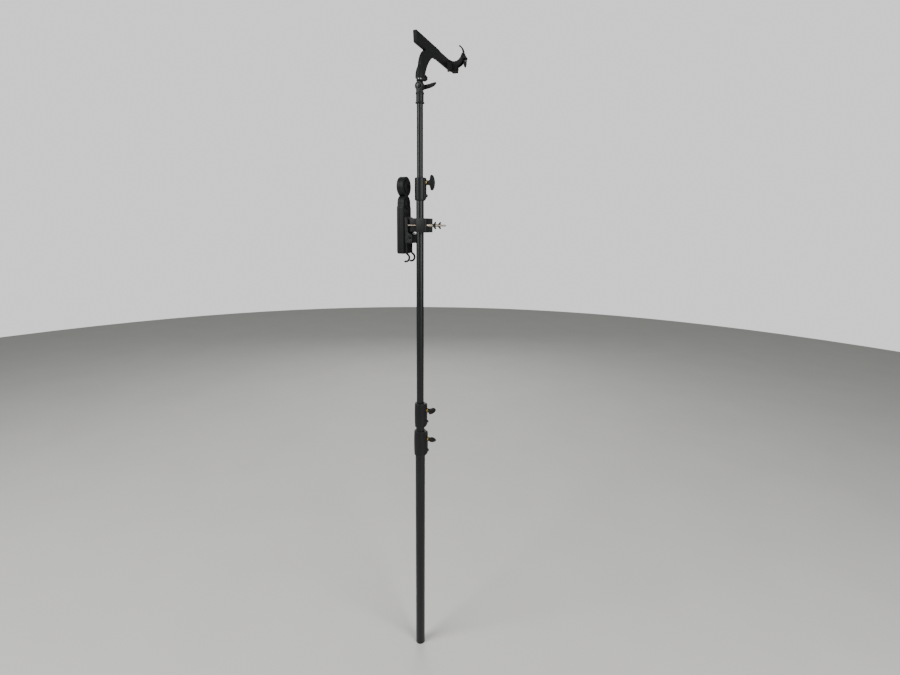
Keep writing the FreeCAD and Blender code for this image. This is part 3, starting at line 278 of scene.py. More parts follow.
# Powder-coated steel tube: an even satin black with a faint orange peel, and long hair-fine rub
# marks where the sections slide. The peel of about 0.5 mm is drawn at 1.2 mm so that it shows.
POWDER_TUBE = Finish(
    "Powder coated steel tube", "#0f1011", "#141516", 90, 0.36, 0.07, 1.2, 0.02,
    stretch=26, scuff=0.16, scuff_colour="#34363a", specular=0.26,
)
# The same powder on bent and flat bar: its rub marks run no particular way.
POWDER_BAR = replace(
    POWDER_TUBE, name="Powder coated steel bar", cloud_mm=25, roughness=0.42, stretch=1.0,
    scuff=0.08, specular=0.18,
)
# Die-cast aluminium under stoved paint: a slightly pebbled dark grey-black with paint rubbed
# thin on its edges.
CAST_PAINTED = Finish(
    "Stoved paint on die casting", "#101112", "#161718", 30, 0.44, 0.09, 1.0, 0.05,
    scuff=0.10, scuff_colour="#3e4042", specular=0.22,
)
# Glass-filled nylon from a spark-eroded mould: matt black with a close even grain, a touch
# paler where hands have burnished the edges.
MOULDED_NYLON = Finish(
    "Spark textured glass filled nylon", "#151616", "#1c1d1d", 24, 0.56, 0.08, 0.8, 0.035,
    scuff=0.07, scuff_colour="#2b2c2d", specular=0.12,
)
# ABS case in a finer mould: dull black that keeps a soft broad sheen.
MOULDED_CASE = Finish(
    "Fine textured ABS", "#131414", "#191a1a", 40, 0.5, 0.06, 0.7, 0.02,
    scuff=0.05, scuff_colour="#2a2b2c", specular=0.16,
)
# Unfilled nylon bearing: dark, smooth and faintly waxy.
BEARING_NYLON = Finish(
    "Machined bearing nylon", "#1a1b1c", "#202122", 18, 0.42, 0.04, 0.6, 0.01, specular=0.3,
)
# Turned brass left bare: warm yellow, dulled brown in slow patches, with close tool rings.
TURNED_BRASS = Finish(
    "Turned brass", "#b8974f", "#8f7036", 9, 0.32, 0.08, 0.5, 0.01, metallic=1.0,
)
# Clear-passivated zinc plate on steel: bright metal that has warmed a little with age.
ZINC_PLATE = Finish(
    "Passivated zinc plate", "#a89e8e", "#8a8173", 8, 0.32, 0.08, 0.6, 0.01, metallic=1.0,
)
# Chrome plate dulled by handling: grey mirror that blurs what it reflects.
CHROME_PLATE = Finish(
    "Dulled chrome plate", "#8a8c8e", "#77797c", 12, 0.26, 0.06, 1.5, 0.003, metallic=1.0,
)
# Hot black oxide on screws and cast nuts, oiled: near black with small crisp highlights.
BLACK_OXIDE = Finish(
    "Oiled black oxide on steel", "#101113", "#1a1b1e", 5, 0.28, 0.08, 0.5, 0.01,
    scuff=0.12, scuff_colour="#3c3d40", specular=0.3,
)
# Moulded EPDM rubber: dead matt, grey-black and dusty in its pores.
EPDM_RUBBER = Finish(
    "Moulded rubber", "#101010", "#1b1b1a", 14, 0.82, 0.06, 0.9, 0.04, scuff=0.12,
    scuff_colour="#2f2e2c", specular=0.12,
)
# Screws passivated in yellow chromate that has aged brown: dull bronze-coloured metal.
AGED_CHROMATE = Finish(
    "Aged chromate plate", "#5e4c38", "#48392b", 4, 0.46, 0.08, 0.5, 0.01, metallic=1.0,
)


# ------------------------------------------------------------------ surfaces


@dataclass
class Shell:
    """A closed surface in millimetres, with how worn each of its points is.

    Attributes:
        points: One row of x, y, z per vertex.
        faces: Vertex numbers of each face.
        wear: One value from zero to one per vertex.
    """

    points: Array
    faces: list[tuple[int, ...]]
    wear: Array

    def moved(self, matrix: Matrix) -> "Shell":
        """The shell carried by a 4 by 4 matrix in millimetres."""
        turned = self.points @ np.array(matrix.to_3x3()).T + np.array(matrix.translation)
        return Shell(turned, self.faces, self.wear)


class Facing(Enum):
    """Which way a flat outline faces: its across, up and depth directions as frame axes."""

    X = (1, 2, 0, False)
    Y = (0, 2, 1, True)
    Z = (0, 1, 2, False)

    def lay(self, across: Array, up: Array, depth: Array) -> Array:
        """Put outline coordinates into frame axes.

        Args:
            across: First outline coordinate.
            up: Second outline coordinate.
            depth: Coordinate along the facing axis.

        Returns:
            Points with x, y, z in the last place.
        """
        laid = np.empty(across.shape + (3,))
        laid[..., self.value[0]] = across
        laid[..., self.value[1]] = up
        laid[..., self.value[2]] = depth
        return laid


def grid_shell(points: Array, ring: bool = False, wear: Optional[Array] = None) -> Shell:
    """Close a grid of rows into a shell. Each row is a loop; rows run from one end to the other.

    Args:
        points: Rows by columns by three.
        ring: True joins the last row to the first; otherwise each end row closes on its mean.
        wear: One value for each row, or None for none.

    Returns:
        The closed shell.
    """
    rows, columns = points.shape[:2]
    first = np.arange(rows if ring else rows - 1)[:, None]
    second = (first + 1) % rows
    column = np.arange(columns)[None, :]
    following = (column + 1) % columns
    quads = np.stack(
        [
            first * columns + column,
            first * columns + following,
            second * columns + following,
            second * columns + column,
        ],
        axis=-1,
    ).reshape(-1, 4)
    flat = points.reshape(-1, 3)
    faces = [tuple(quad) for quad in quads.tolist()]
    shade = np.repeat(np.zeros(rows) if wear is None else wear, columns)
    if not ring:
        centres = np.stack([points[0].mean(axis=0), points[-1].mean(axis=0)])
        base = rows * columns
        last = (rows - 1) * columns
        loop = [(c, (c + 1) % columns) for c in range(columns)]
        faces += [(base, b, a) for a, b in loop]
        faces += [(base + 1, last + a, last + b) for a, b in loop]
        flat = np.vstack([flat, centres])
        shade = np.append(shade, [shade[0], shade[-1]])
    return Shell(flat, faces, shade)


def turned(
    profile: Sequence[tuple[float, float]],
    facing: Facing,
    centre: Sequence[float],
    ring: bool = False,
    steps: int = 72,
    ripple: Optional[Callable[[Array, Array], Array]] = None,
) -> Shell:
    """A surface of revolution: the point at profile place s and angle a lies at the profile's
    distance along the axis and at radius r(s), times the ripple at that place and angle.

    Args:
        profile: Pairs of distance along the axis and radius.
        facing: The axis.
        centre: A point on the axis.
        ring: True for a profile that closes on itself.
        steps: Divisions round the axis.
        ripple: Gives a factor on the radius from distance along and angle.

    Returns:
        The closed shell.
    """
    along, radius = np.array(profile, float).T
    angle = np.linspace(0, FULL_TURN, steps, endpoint=False)
    reach = np.broadcast_to(radius[:, None], (len(radius), steps)).copy()
    spread = np.broadcast_to(along[:, None], reach.shape)
    if ripple is not None:
        reach *= ripple(spread, np.broadcast_to(angle[None, :], reach.shape))
    points = facing.lay(reach * np.cos(angle), reach * np.sin(angle), spread)
    return grid_shell(points + np.array(centre, float), ring, edge_wear(along, radius, ring))


def edge_wear(along: Array, radius: Array, ring: bool) -> Array:
    """How sharply a profile turns at each of its points, as wear from zero to one.

    Args:
        along: First coordinates of the profile.
        radius: Second coordinates of the profile.
        ring: True when the profile closes on itself.

    Returns:
        One value for each point: the turn's angle over 40 degrees, at most one.
    """
    way = np.stack([along, radius], axis=-1)
    before = way - np.roll(way, 1, axis=0)
    after = np.roll(way, -1, axis=0) - way
    cross = before[:, 0] * after[:, 1] - before[:, 1] * after[:, 0]
    dot = (before * after).sum(axis=1)
    bend = np.abs(np.arctan2(cross, dot))
    if not ring:
        bend[0] = bend[-1] = 0
    return np.clip(bend / math.radians(40), 0, 1)


def rounded_ends(
    start: float, end: float, inner: float, outer: float, edge: float
) -> list[tuple[float, float]]:
    """Profile of a tube's wall with all four rims rounded by quarter circles.

    Args:
        start: Where the tube starts along its axis.
        end: Where it ends.
        inner: Bore radius.
        outer: Outer radius.
        edge: Radius of the rounding.

    Returns:
        A closed profile of distance along and radius.
    """
    corners = [
        (start + edge, inner + edge, math.pi * 1.5, math.pi),
        (start + edge, outer - edge, math.pi, math.pi / 2),
        (end - edge, outer - edge, math.pi / 2, 0),
        (end - edge, inner + edge, 0, -math.pi / 2),
    ]
    profile = []
    for along, radius, first, last in corners:
        angles = np.linspace(first, last, 5)
        profile += list(zip(along + edge * np.cos(angles), radius + edge * np.sin(angles)))
    return profile


def soft_profile(
    corners: Sequence[tuple[float, ...]], edge: float, closed: bool = False, steps: int = 5
) -> list[tuple[float, float]]:
    """Round the corners of a broken line. Each corner becomes an arc that is tangent to both of
    its runs; its radius is the corner's own third number, or the common one.

    Args:
        corners: Points, each with an optional radius of its own.
        edge: Radius for corners without one.
        closed: True when the last point joins the first.
        steps: Points for each arc.

    Returns:
        The rounded line.
    """
    count = len(corners)
    line: list[tuple[float, float]] = []
    for index, corner in enumerate(corners):
        here = np.array(corner[:2], float)
        if not closed and index in (0, count - 1):
            line.append((here[0], here[1]))
            continue
        wanted = corner[2] if len(corner) > 2 else edge
        back = np.array(corners[index - 1][:2], float) - here
        ahead = np.array(corners[(index + 1) % count][:2], float) - here
        long_back, long_ahead = np.linalg.norm(back), np.linalg.norm(ahead)
        back, ahead = back / long_back, ahead / long_ahead
        half = math.acos(float(np.clip(back @ ahead, -1, 1))) / 2
        if wanted <= 0 or half > math.pi / 2 - 0.01:
            line.append((here[0], here[1]))
            continue
        trim = min(wanted / math.tan(half), 0.48 * long_back, 0.48 * long_ahead)
        radius = trim * math.tan(half)
        middle = here + (back + ahead) / np.linalg.norm(back + ahead) * radius / math.sin(half)
        first, last = here + back * trim - middle, here + ahead * trim - middle
        begin = math.atan2(first[1], first[0])
        sweep = math.atan2(last[1], last[0]) - begin
        sweep = (sweep + math.pi) % FULL_TURN - math.pi
        for share in np.linspace(0, 1, steps):
            angle = begin + sweep * share
            line.append((middle[0] + radius * math.cos(angle), middle[1] + radius * math.sin(angle)))
    return line


def arc(
    centre: Sequence[float], radius: float, start: float, end: float, steps: int = 24
) -> list[tuple[float, float]]:
    """Points on a circle between two angles in degrees."""
    angles = np.radians(np.linspace(start, end, steps))
    return list(zip(centre[0] + radius * np.cos(angles), centre[1] + radius * np.sin(angles)))


def circle_loop(centre: Sequence[float], radius: float, steps: int = 40) -> Array:
    """A clockwise circle, which cuts a hole in a plate."""
    angles = np.linspace(0, -FULL_TURN, steps, endpoint=False)
    return np.stack(
        [centre[0] + radius * np.cos(angles), centre[1] + radius * np.sin(angles)], axis=-1
    )


def without_doubles(loop: Array) -> Array:
    """Drop points of a loop that lie on the one before them."""
    apart = np.linalg.norm(loop - np.roll(loop, 1, axis=0), axis=1) > 1e-4
    return loop[apart]


def outward(loop: Array) -> Array:
    """Mitred normals on the right of a loop's way round: out of a plate, or into its hole.

    Args:
        loop: Points in order.

    Returns:
        One vector for each point, as long as the mitre needs.
    """
    before = loop - np.roll(loop, 1, axis=0)
    after = np.roll(loop, -1, axis=0) - loop
    before /= np.linalg.norm(before, axis=1, keepdims=True)
    after /= np.linalg.norm(after, axis=1, keepdims=True)
    one = np.stack([before[:, 1], -before[:, 0]], axis=-1)
    two = np.stack([after[:, 1], -after[:, 0]], axis=-1)
    middle = one + two
    middle /= np.maximum(np.linalg.norm(middle, axis=1, keepdims=True), 1e-6)
    return middle / np.maximum((middle * one).sum(axis=1, keepdims=True), 0.5)


def plate(
    loops: Sequence[Sequence[tuple[float, float]]],
    facing: Facing,
    low: float,
    high: float,
    edge_low: float = 0.6,
    edge_high: float = 0.6,
    steps: int = 5,
) -> Shell:
    """A plate with rounded rims: at angle a of a rim's quarter circle of radius e, each outline
    point moves in by e times one minus sine a, and down from the face by e times one minus
    cosine a. The faces between the innermost loops are flat.

    Args:
        loops: The outline anticlockwise, then any holes clockwise.
        facing: The axis that the plate's faces look along.
        low: Where the plate starts along that axis.
        high: Where it ends.
        edge_low: Rim radius at the low face.
        edge_high: Rim radius at the high face.
        steps: Rows in each rim.

    Returns:
        The closed shell.
    """
    angle = np.linspace(0, math.pi / 2, steps)
    inset = np.concatenate([edge_low * (1 - np.sin(angle)), edge_high * (1 - np.sin(angle[::-1]))])
    depth = np.concatenate(
        [low + edge_low * (1 - np.cos(angle)), high - edge_high * (1 - np.cos(angle[::-1]))]
    )
    row_wear = np.concatenate([np.sin(2 * angle), np.sin(2 * angle[::-1])])
    points, faces, wear, tops, bottoms = [], [], [], [], []
    start = 0
    for raw in loops:
        loop = without_doubles(np.array(raw, float))
        normal = outward(loop)
        grid = loop[None] - inset[:, None, None] * normal[None]
        rows, columns = grid.shape[:2]
        spread = np.broadcast_to(depth[:, None], (rows, columns))
        points.append(facing.lay(grid[..., 0], grid[..., 1], spread).reshape(-1, 3))
        wear.append(np.repeat(row_wear, columns))
        row = np.arange(rows - 1)[:, None] * columns
        column = np.arange(columns)[None, :]
        after = (column + 1) % columns
        quads = np.stack(
            [row + column, row + after, row + columns + after, row + columns + column], axis=-1
        ).reshape(-1, 4)
        faces += [tuple(quad) for quad in (quads + start).tolist()]
        bottoms.append((start, grid[0]))
        tops.append((start + (rows - 1) * columns, grid[-1]))
        start += rows * columns
    faces += flat_face(bottoms, up=False) + flat_face(tops, up=True)
    if facing.value[3]:
        faces = [tuple(reversed(face)) for face in faces]
    return Shell(np.vstack(points), faces, np.concatenate(wear))


def flat_face(loops: Sequence[tuple[int, Array]], up: bool) -> list[tuple[int, ...]]:
    """Fill the space between an outline and its holes with triangles.

    Args:
        loops: For each loop, the number of its first vertex and its points.
        up: Which way the triangles look.

    Returns:
        Vertex numbers of the triangles.
    """
    numbers = np.concatenate([first + np.arange(len(loop)) for first, loop in loops])
    flat = np.vstack([loop for _, loop in loops])
    triangles = tessellate_polygon(
        [[Vector((p[0], p[1], 0)) for p in loop] for _, loop in loops]
    )
    chosen = []
    for a, b, c in triangles:
        one, two = flat[b] - flat[a], flat[c] - flat[a]
        area = one[0] * two[1] - one[1] * two[0]
        if abs(area) < 1e-9:
            continue
        order = (a, b, c) if (area > 0) == up else (a, c, b)
        chosen.append(tuple(int(numbers[i]) for i in order))
    return chosen


def lofted(sections: Array, levels: Array, facing: Facing) -> Shell:
    """A form through flat sections, each a loop at its own level, closed flat at both ends.

    Args:
        sections: Rows of anticlockwise loops, as rows by columns by two.
        levels: Place of each row along the facing axis.
        facing: The axis that the sections look along.

    Returns:
        The closed shell.
    """
    rows, columns = sections.shape[:2]
    spread = np.broadcast_to(levels[:, None], (rows, columns))
    points = facing.lay(sections[..., 0], sections[..., 1], spread).reshape(-1, 3)
    row = np.arange(rows - 1)[:, None] * columns
    column = np.arange(columns)[None, :]
    after = (column + 1) % columns
    quads = np.stack(
        [row + column, row + after, row + columns + after, row + columns + column], axis=-1
    ).reshape(-1, 4)
    faces = [tuple(quad) for quad in quads.tolist()]
    faces += flat_face([(0, sections[0])], up=False)
    faces += flat_face([((rows - 1) * columns, sections[-1])], up=True)
    if facing.value[3]:
        faces = [tuple(reversed(face)) for face in faces]
    return Shell(points, faces, np.zeros(len(points)))


def swept(path: Array, radius: Array, side: Sequence[float], steps: int = 24) -> Shell:
    """A round rod along a flat curve: the ring at path place s is the circle of radius r(s) in
    the plane square to the path, spanned by the curve's own side direction and its normal.

    Args:
        path: Points along the rod's centre.
        radius: One radius for each point.
        side: The direction that the whole path is square to.
        steps: Divisions round the rod.

    Returns:
        The closed shell.
    """
    way = np.gradient(path, axis=0)
    way /= np.linalg.norm(way, axis=1, keepdims=True)
    beside = np.array(side, float)
    square = np.cross(beside[None], way)
    angle = np.linspace(0, FULL_TURN, steps, endpoint=False)
    ring = (
        np.cos(angle)[None, :, None] * square[:, None, :]
        + np.sin(angle)[None, :, None] * beside[None, None, :]
    )
    return grid_shell(path[:, None, :] + radius[:, None, None] * ring)


def stacked(
    sections: Sequence[tuple[float, float, float, float, float]],
    facing: Facing,
    power: float = 2.6,
    steps: int = 64,
) -> Shell:
    """A form of superellipse sections: at each station, the point at angle a lies at radius
    (|cos a / w| to the power n plus |sin a / h| to the power n) to the power minus one over n.

    Args:
        sections: Depth, across centre, up centre, half width and half height of each station.
        facing: The axis that the stations follow.
        power: The superellipse's power n.
        steps: Divisions round each section.

    Returns:
        The closed shell.
    """
    depth, across, up, wide, tall = np.array(sections, float).T[:, :, None]
    angle = np.linspace(0, FULL_TURN, steps, endpoint=False)[None]
    reach = (
        np.abs(np.cos(angle) / wide) ** power + np.abs(np.sin(angle) / tall) ** power
    ) ** (-1 / power)
    spread = np.broadcast_to(depth, reach.shape)
    return grid_shell(facing.lay(across + reach * np.cos(angle), up + reach * np.sin(angle), spread))


# ------------------------------------------------------------------ pieces


class Workshop:
    """Reads sizes from the frame and turns shells into finished pieces on it."""

    def __init__(self, frame: dict) -> None:
        """Keep the frame and find the body of each node."""
        self.frame = frame
        bodies = frame["record"]["behaviour"]["bodies"]
        self.body_of = {node: body for body, nodes in bodies.items() for node in nodes}

    def low(self, node: str) -> Array:
        """Lowest corner of a node in millimetres."""
        return np.array(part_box(node)[0]) / MM

    def high(self, node: str) -> Array:
        """Highest corner of a node in millimetres."""
        return np.array(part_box(node)[1]) / MM

    def middle(self, node: str) -> Array:
        """Middle of a node's box in millimetres."""
        return (self.low(node) + self.high(node)) / 2

    def dress(self, node: str, finish: Finish) -> None:
        """Give a carried-over node its finish."""
        mesh = self.frame["nodes"][node].data
        mesh.materials.clear()
        mesh.materials.append(finish.material())

    def make(
        self,
        name: str,
        shells: Sequence[Shell],
        finish: Finish,
        slot: Slot,
        replaces: Sequence[str],
        crease: float = 38,
    ) -> bpy.types.Object:
        """Join shells into one piece that stands for CAD nodes and rides with them.

        Args:
            name: The piece's name.
            shells: Its closed surfaces.
            finish: What it is coated or made with.
            slot: The record's slot of that finish; not used.
            replaces: The CAD nodes that it stands for; it rides with the first.
            crease: Edges that bend by more degrees than this look sharp.

        Returns:
            The finished object.
        """
        starts = np.cumsum([0] + [len(shell.points) for shell in shells[:-1]])
        faces = [
            tuple(number + int(start) for number in face)
            for shell, start in zip(shells, starts)
            for face in shell.faces
        ]
        mesh = bpy.data.meshes.new(name)
        mesh.from_pydata(np.vstack([shell.points for shell in shells]) * MM, [], faces)
        worn = mesh.attributes.new("wear", "FLOAT", "POINT")
        worn.data.foreach_set(
            "value", np.concatenate([shell.wear for shell in shells]).astype(np.float32)
        )
        tidy = bmesh.new()
        tidy.from_mesh(mesh)
        bmesh.ops.remove_doubles(tidy, verts=tidy.verts, dist=1e-7)
        bmesh.ops.recalc_face_normals(tidy, faces=tidy.faces)
        tidy.to_mesh(mesh)
        tidy.free()
        mesh.polygons.foreach_set("use_smooth", np.ones(len(mesh.polygons), bool))
        mesh.set_sharp_from_angle(angle=math.radians(crease))
        mesh.materials.append(finish.material())
        made = bpy.data.objects.new(name, mesh)
        bpy.context.scene.collection.objects.link(made)
        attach(made, self.body_of[replaces[0]])
        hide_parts(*replaces)
        LOG.info("%s: %d faces", name, len(mesh.polygons))
        return made


@dataclass
class Column:
    """The four tubes, the rubber foot and the parts inside them.

    Attributes:
        shop: Where pieces are made.
        rim: Rounding of the tubes' cut ends.
        base_wall: Wall of the lowest tube.
        riser_wall: Wall of the others.
    """

    shop: Workshop
    rim: float = 0.45
    base_wall: float = 1.5
    riser_wall: float = 1.25

    def build(self) -> None:
        """Make the tubes and dress what stays as it is."""
        walls = {
            "base_tube": self.base_wall, "first_riser": self.riser_wall,
            "second_riser": self.riser_wall, "third_riser": self.riser_wall,
        }
        for node, wall in walls.items():
            low, high = self.shop.low(node), self.shop.high(node)
            outer = high[0]
            shell = turned(
                rounded_ends(low[2], high[2], outer - wall, outer, self.rim), Facing.Z,
                (0, 0, 0), ring=True, steps=96,
            )
            self.shop.make(node + "_drawn", [shell], POWDER_TUBE, Slot.POWDER, [node])
        self.foot()
        for node in ("first_riser_guide", "second_riser_guide", "third_riser_guide"):
            self.shop.dress(node, BEARING_NYLON)

    def foot(self) -> None:
        """Rubber foot: a treaded disc with rounded rim and a ribbed plug in the tube."""
        low, high = self.shop.low("foot_cap"), self.shop.high("foot_cap")
        outer, top = high[0], high[2]
        flange = self.shop.low("base_tube")[2]
        plug = outer - self.base_wall
        profile = soft_profile(
            [(low[2], 4), (low[2], outer - 6), (low[2] + 0.9, outer - 5), (low[2] + 0.9, outer - 4),
             (low[2], outer - 3), (low[2], outer), (flange, outer), (flange, plug - 0.2),
             (flange + 4, plug - 0.2), (flange + 5, plug - 0.8), (flange + 9, plug - 0.8),
             (flange + 10, plug - 0.2), (top, plug - 0.2), (top, 9), (flange + 1, 9),
             (flange + 1, 4)], 0.5)
        shell = turned(profile, Facing.Z, (0, 0, 0), steps=72)
        self.shop.make("foot_tread", [shell], EPDM_RUBBER, Slot.RUBBER, ["foot_cap"])


@dataclass
class Joint:
    """One telescopic joint: collar, brass insert, pinch bolt and T-shaped knob.

    Attributes:
        shop: Where pieces are made.
        name: The joint's name in the frame.
        tube: The tube that the collar is fixed on.
        riser: The tube that slides through it.
        lean: Turn of the knob's bar about its screw, in degrees.
        boss_half: Half the width of the collar's boss.
        rim: Rounding of the collar's ends.
    """

    shop: Workshop
    name: str
    tube: str
    riser: str
    lean: float
    boss_half: float = 9.0
    rim: float = 2.2

    def build(self) -> None:
        """Make the joint's visible parts and dress the hidden ones."""
        self.collar()
        self.insert()
        self.pinch_bolt()
        self.knob()
        self.bushing()
        self.shop.dress(self.name + "_brake_pad", BEARING_NYLON)
        self.shop.dress(self.name + "_knob_screw", ZINC_PLATE)

    def collar(self) -> None:
        """Crowned barrel with a boss. At angle a and height z its radius is the high-power mean
        of the barrel's circle, which bellies by a square law, and the boss's rounded oblong."""
        node = self.name + "_collar"
        low, high = self.shop.low(node), self.shop.high(node)
        tube = self.shop.high(self.tube)[0]
        riser = self.shop.high(self.riser)[0]
        bottom, top, belly, reach = low[2], high[2], -low[0], high[0]
        middle, half = (bottom + top) / 2, (top - bottom) / 2
        ease = np.linspace(0, math.pi / 2, 7)
        rim = self.rim
        heights = np.concatenate([
            bottom + rim * (1 - np.cos(ease)),
            np.linspace(bottom + rim, top - rim, 34)[1:-1],
            top - rim * (1 - np.cos(ease[::-1])),
        ])
        inset = np.concatenate([rim * (1 - np.sin(ease)), np.zeros(32),
                                rim * (1 - np.sin(ease[::-1]))])
        angle = np.linspace(0, FULL_TURN, 120, endpoint=False)[None]
        barrel = (belly - half ** 2 / 1800 * ((heights - middle) / half) ** 2 - inset)[:, None]
        ramp = np.minimum(
            1, np.minimum((heights - bottom) / 9 * 0.9 + 0.1, (top - heights) / 3 * 0.5 + 0.5))
        boss_reach = (barrel[:, 0] + (reach - inset * 0.6 - barrel[:, 0]) * ramp)[:, None]
        boss_wide = (self.boss_half - inset * 0.5)[:, None]
        facing_side = np.clip(np.cos(angle), 1e-3, None)
        boss = ((facing_side / boss_reach) ** 7 + np.abs(np.sin(angle) / boss_wide) ** 7) ** (-1 / 7)
        boss = np.where(np.cos(angle) > 0.05, boss, 0)
        outer = np.minimum((barrel ** 16 + boss ** 16) ** (1 / 16), np.maximum(boss_reach, barrel))
        lip = riser + 0.35
        bore = tube + 0.05
        seat = self.shop.high(self.name + "_bushing")[2]
        inner_levels = np.array([top, top - 0.8, seat, seat, bottom + 0.8, bottom])
        inner_radius = np.array([lip + 0.8, lip, lip, bore, bore, bore + 0.8])
        inner = np.broadcast_to(inner_radius[:, None], (6, 120))
        radius = np.vstack([outer, inner])
        levels = np.concatenate([heights, inner_levels])[:, None]
        points = Facing.Z.lay(
            radius * np.cos(angle), radius * np.sin(angle), np.broadcast_to(levels, radius.shape))
        wear = np.zeros(len(levels))
        wear[:7] = wear[39:46] = np.sin(2 * ease)
        shell = grid_shell(points, ring=True, wear=wear)
        level = self.shop.middle(self.name + "_insert")[2]
        nozzle = turned(
            soft_profile([(reach - 2, 5.5), (reach - 2, 8.2), (reach + 3, 7.6, 0.8),
                          (reach + 3, 5.5)], 0.3, closed=True),
            Facing.X, (0, 0, level), ring=True, steps=60)
        self.shop.make(node + "_casting", [shell, nozzle], CAST_PAINTED, Slot.POWDER, [node])

    def insert(self) -> None:
        """Brass insert: its flange has 28 shallow flutes, a cosine on the radius."""
        node = self.name + "_insert"
        low, high = self.shop.low(node), self.shop.high(node)
        centre = self.shop.middle(node)
        flange_start = self.shop.high(self.name + "_collar")[0]
        end, bore, outer = high[0], 3.06, (high[2] - low[2]) / 2
        profile = soft_profile(
            [(low[0], bore), (low[0], 5.4), (flange_start + 3.1, 5.4, 0),
             (flange_start + 3.1, outer), (end, outer), (end, bore + 1.2), (end - 0.6, bore)],
            0.35, closed=True)
        shell = turned(
            profile, Facing.X, (0, 0, centre[2]), ring=True, steps=168,
            ripple=lambda along, angle: 1 - 0.012 * (1 + np.cos(28 * angle))
            * (along > flange_start + 3.2))
        self.shop.make(node + "_turned", [shell], TURNED_BRASS, Slot.BRASS, [node])

    def pinch_bolt(self) -> None:
        """Button-head bolt whose drive recess is a hexagon: radius r over the cosine of the
        angle from the middle of each of its six sides."""
        node = self.name + "_pinch_bolt"
        low, high = self.shop.low(node), self.shop.high(node)
        centre = self.shop.middle(node)
        seat = self.shop.high(self.name + "_collar")[0]
        head, shank, tip = (high[2] - low[2]) / 2, 2.5, high[0]
        dome = [(seat + (tip - seat) * share, head * (1 - share ** 3) ** 0.45)
                for share in np.linspace(0.04, 0.93, 12)]
        profile = [(low[0], 1.6), (low[0] + 0.8, shank), (seat, shank), (seat, head - 0.3)] + dome
        profile += [(tip - 0.25, 2.9), (tip - 0.6, 2.55), (tip - 3, 2.5)]

        def hexagon(along: Array, angle: Array) -> Array:
            """Factor that turns the recess's circle into a hexagon."""
            side = (angle + math.pi / 6) % (math.pi / 3) - math.pi / 6
            recess = np.zeros(along.shape, bool)
            recess[-2:] = True
            return np.where(recess, 1 / np.cos(side), 1)

        shell = turned(profile, Facing.X, (0, 0, centre[2]), steps=72, ripple=hexagon)
        self.shop.make(node + "_button_head", [shell], BLACK_OXIDE, Slot.OXIDE, [node])

    def knob(self) -> None:
        """T-shaped knob. Each section square to its screw is a superellipse; its half thickness
        swells like a leaf and its half length opens from the neck into the bar. Every point then
        falls back by the square of its distance along the bar, which bows the grip."""
        node = self.name + "_t_knob"
        start, tip = self.shop.low(node)[0], self.shop.high(node)[0]
        level = self.shop.middle(self.name + "_knob_screw")[2]
        stations = (0, 0.05, 0.16, 0.32, 0.42, 0.48, 0.56, 0.68, 0.86, 0.94, 0.985, 1.0)
        thick = (5.4, 6.6, 7.2, 8.5, 9.1, 9.2, 9.0, 8.2, 5.8, 4.1, 2.4, 0.5)
        long = (5.4, 6.6, 7.2, 9.0, 12.0, 16.6, 21.4, 23.8, 23.8, 22.6, 20.8, 18.0)
        rise = np.linspace(0, 1, 60) ** 0.92
        along = start + (tip - start) * rise
        smooth = np.hanning(7) / np.hanning(7).sum()
        half_thick = np.convolve(
            np.pad(np.interp(rise, stations, thick), 3, mode="edge"), smooth, mode="valid")[:, None]
        half_long = np.convolve(
            np.pad(np.interp(rise, stations, long), 3, mode="edge"), smooth, mode="valid")[:, None]
        angle = np.linspace(0, FULL_TURN, 96, endpoint=False)[None]
        power = 2.0 + 0.5 * np.clip(rise * 2, 0, 1)[:, None]
        reach = (np.abs(np.cos(angle) / half_thick) ** power
                 + np.abs(np.sin(angle) / half_long) ** power) ** (-1 / power)
        across, up = reach * np.cos(angle), reach * np.sin(angle)
        bowed = along[:, None] - 6.0 * (up / 24) ** 2 * rise[:, None] ** 0.5
        wear = np.clip((rise - 0.8) * 5, 0, 1) * 0.8
        shell = grid_shell(Facing.X.lay(across, up, bowed), wear=wear)
        turn = Matrix.Rotation(math.radians(self.lean), 4, "X")
        turn.translation = (0, 0, level)
        self.shop.make(node + "_grip", [shell.moved(turn)], MOULDED_NYLON, Slot.MOULDED, [node],
                       crease=60)

    def bushing(self) -> None:
        """Nylon top hat with a chamfered mouth."""
        node = self.name + "_bushing"
        low, high = self.shop.low(node), self.shop.high(node)
        riser, tube = self.shop.high(self.riser)[0], self.shop.high(self.tube)[0]
        wall = 1.5 if self.tube == "base_tube" else 1.25
        bore, flange = riser + 0.06, high[2] - 2
        profile = [(low[2], bore), (low[2], tube - wall - 0.05), (flange, tube - wall - 0.05),
                   (flange, tube), (high[2], tube), (high[2], bore + 0.5), (high[2] - 0.5, bore)]
        shell = turned(profile, Facing.Z, (0, 0, 0), ring=True, steps=72)
        self.shop.make(node + "_top_hat", [shell], BEARING_NYLON, Slot.NYLON, [node])


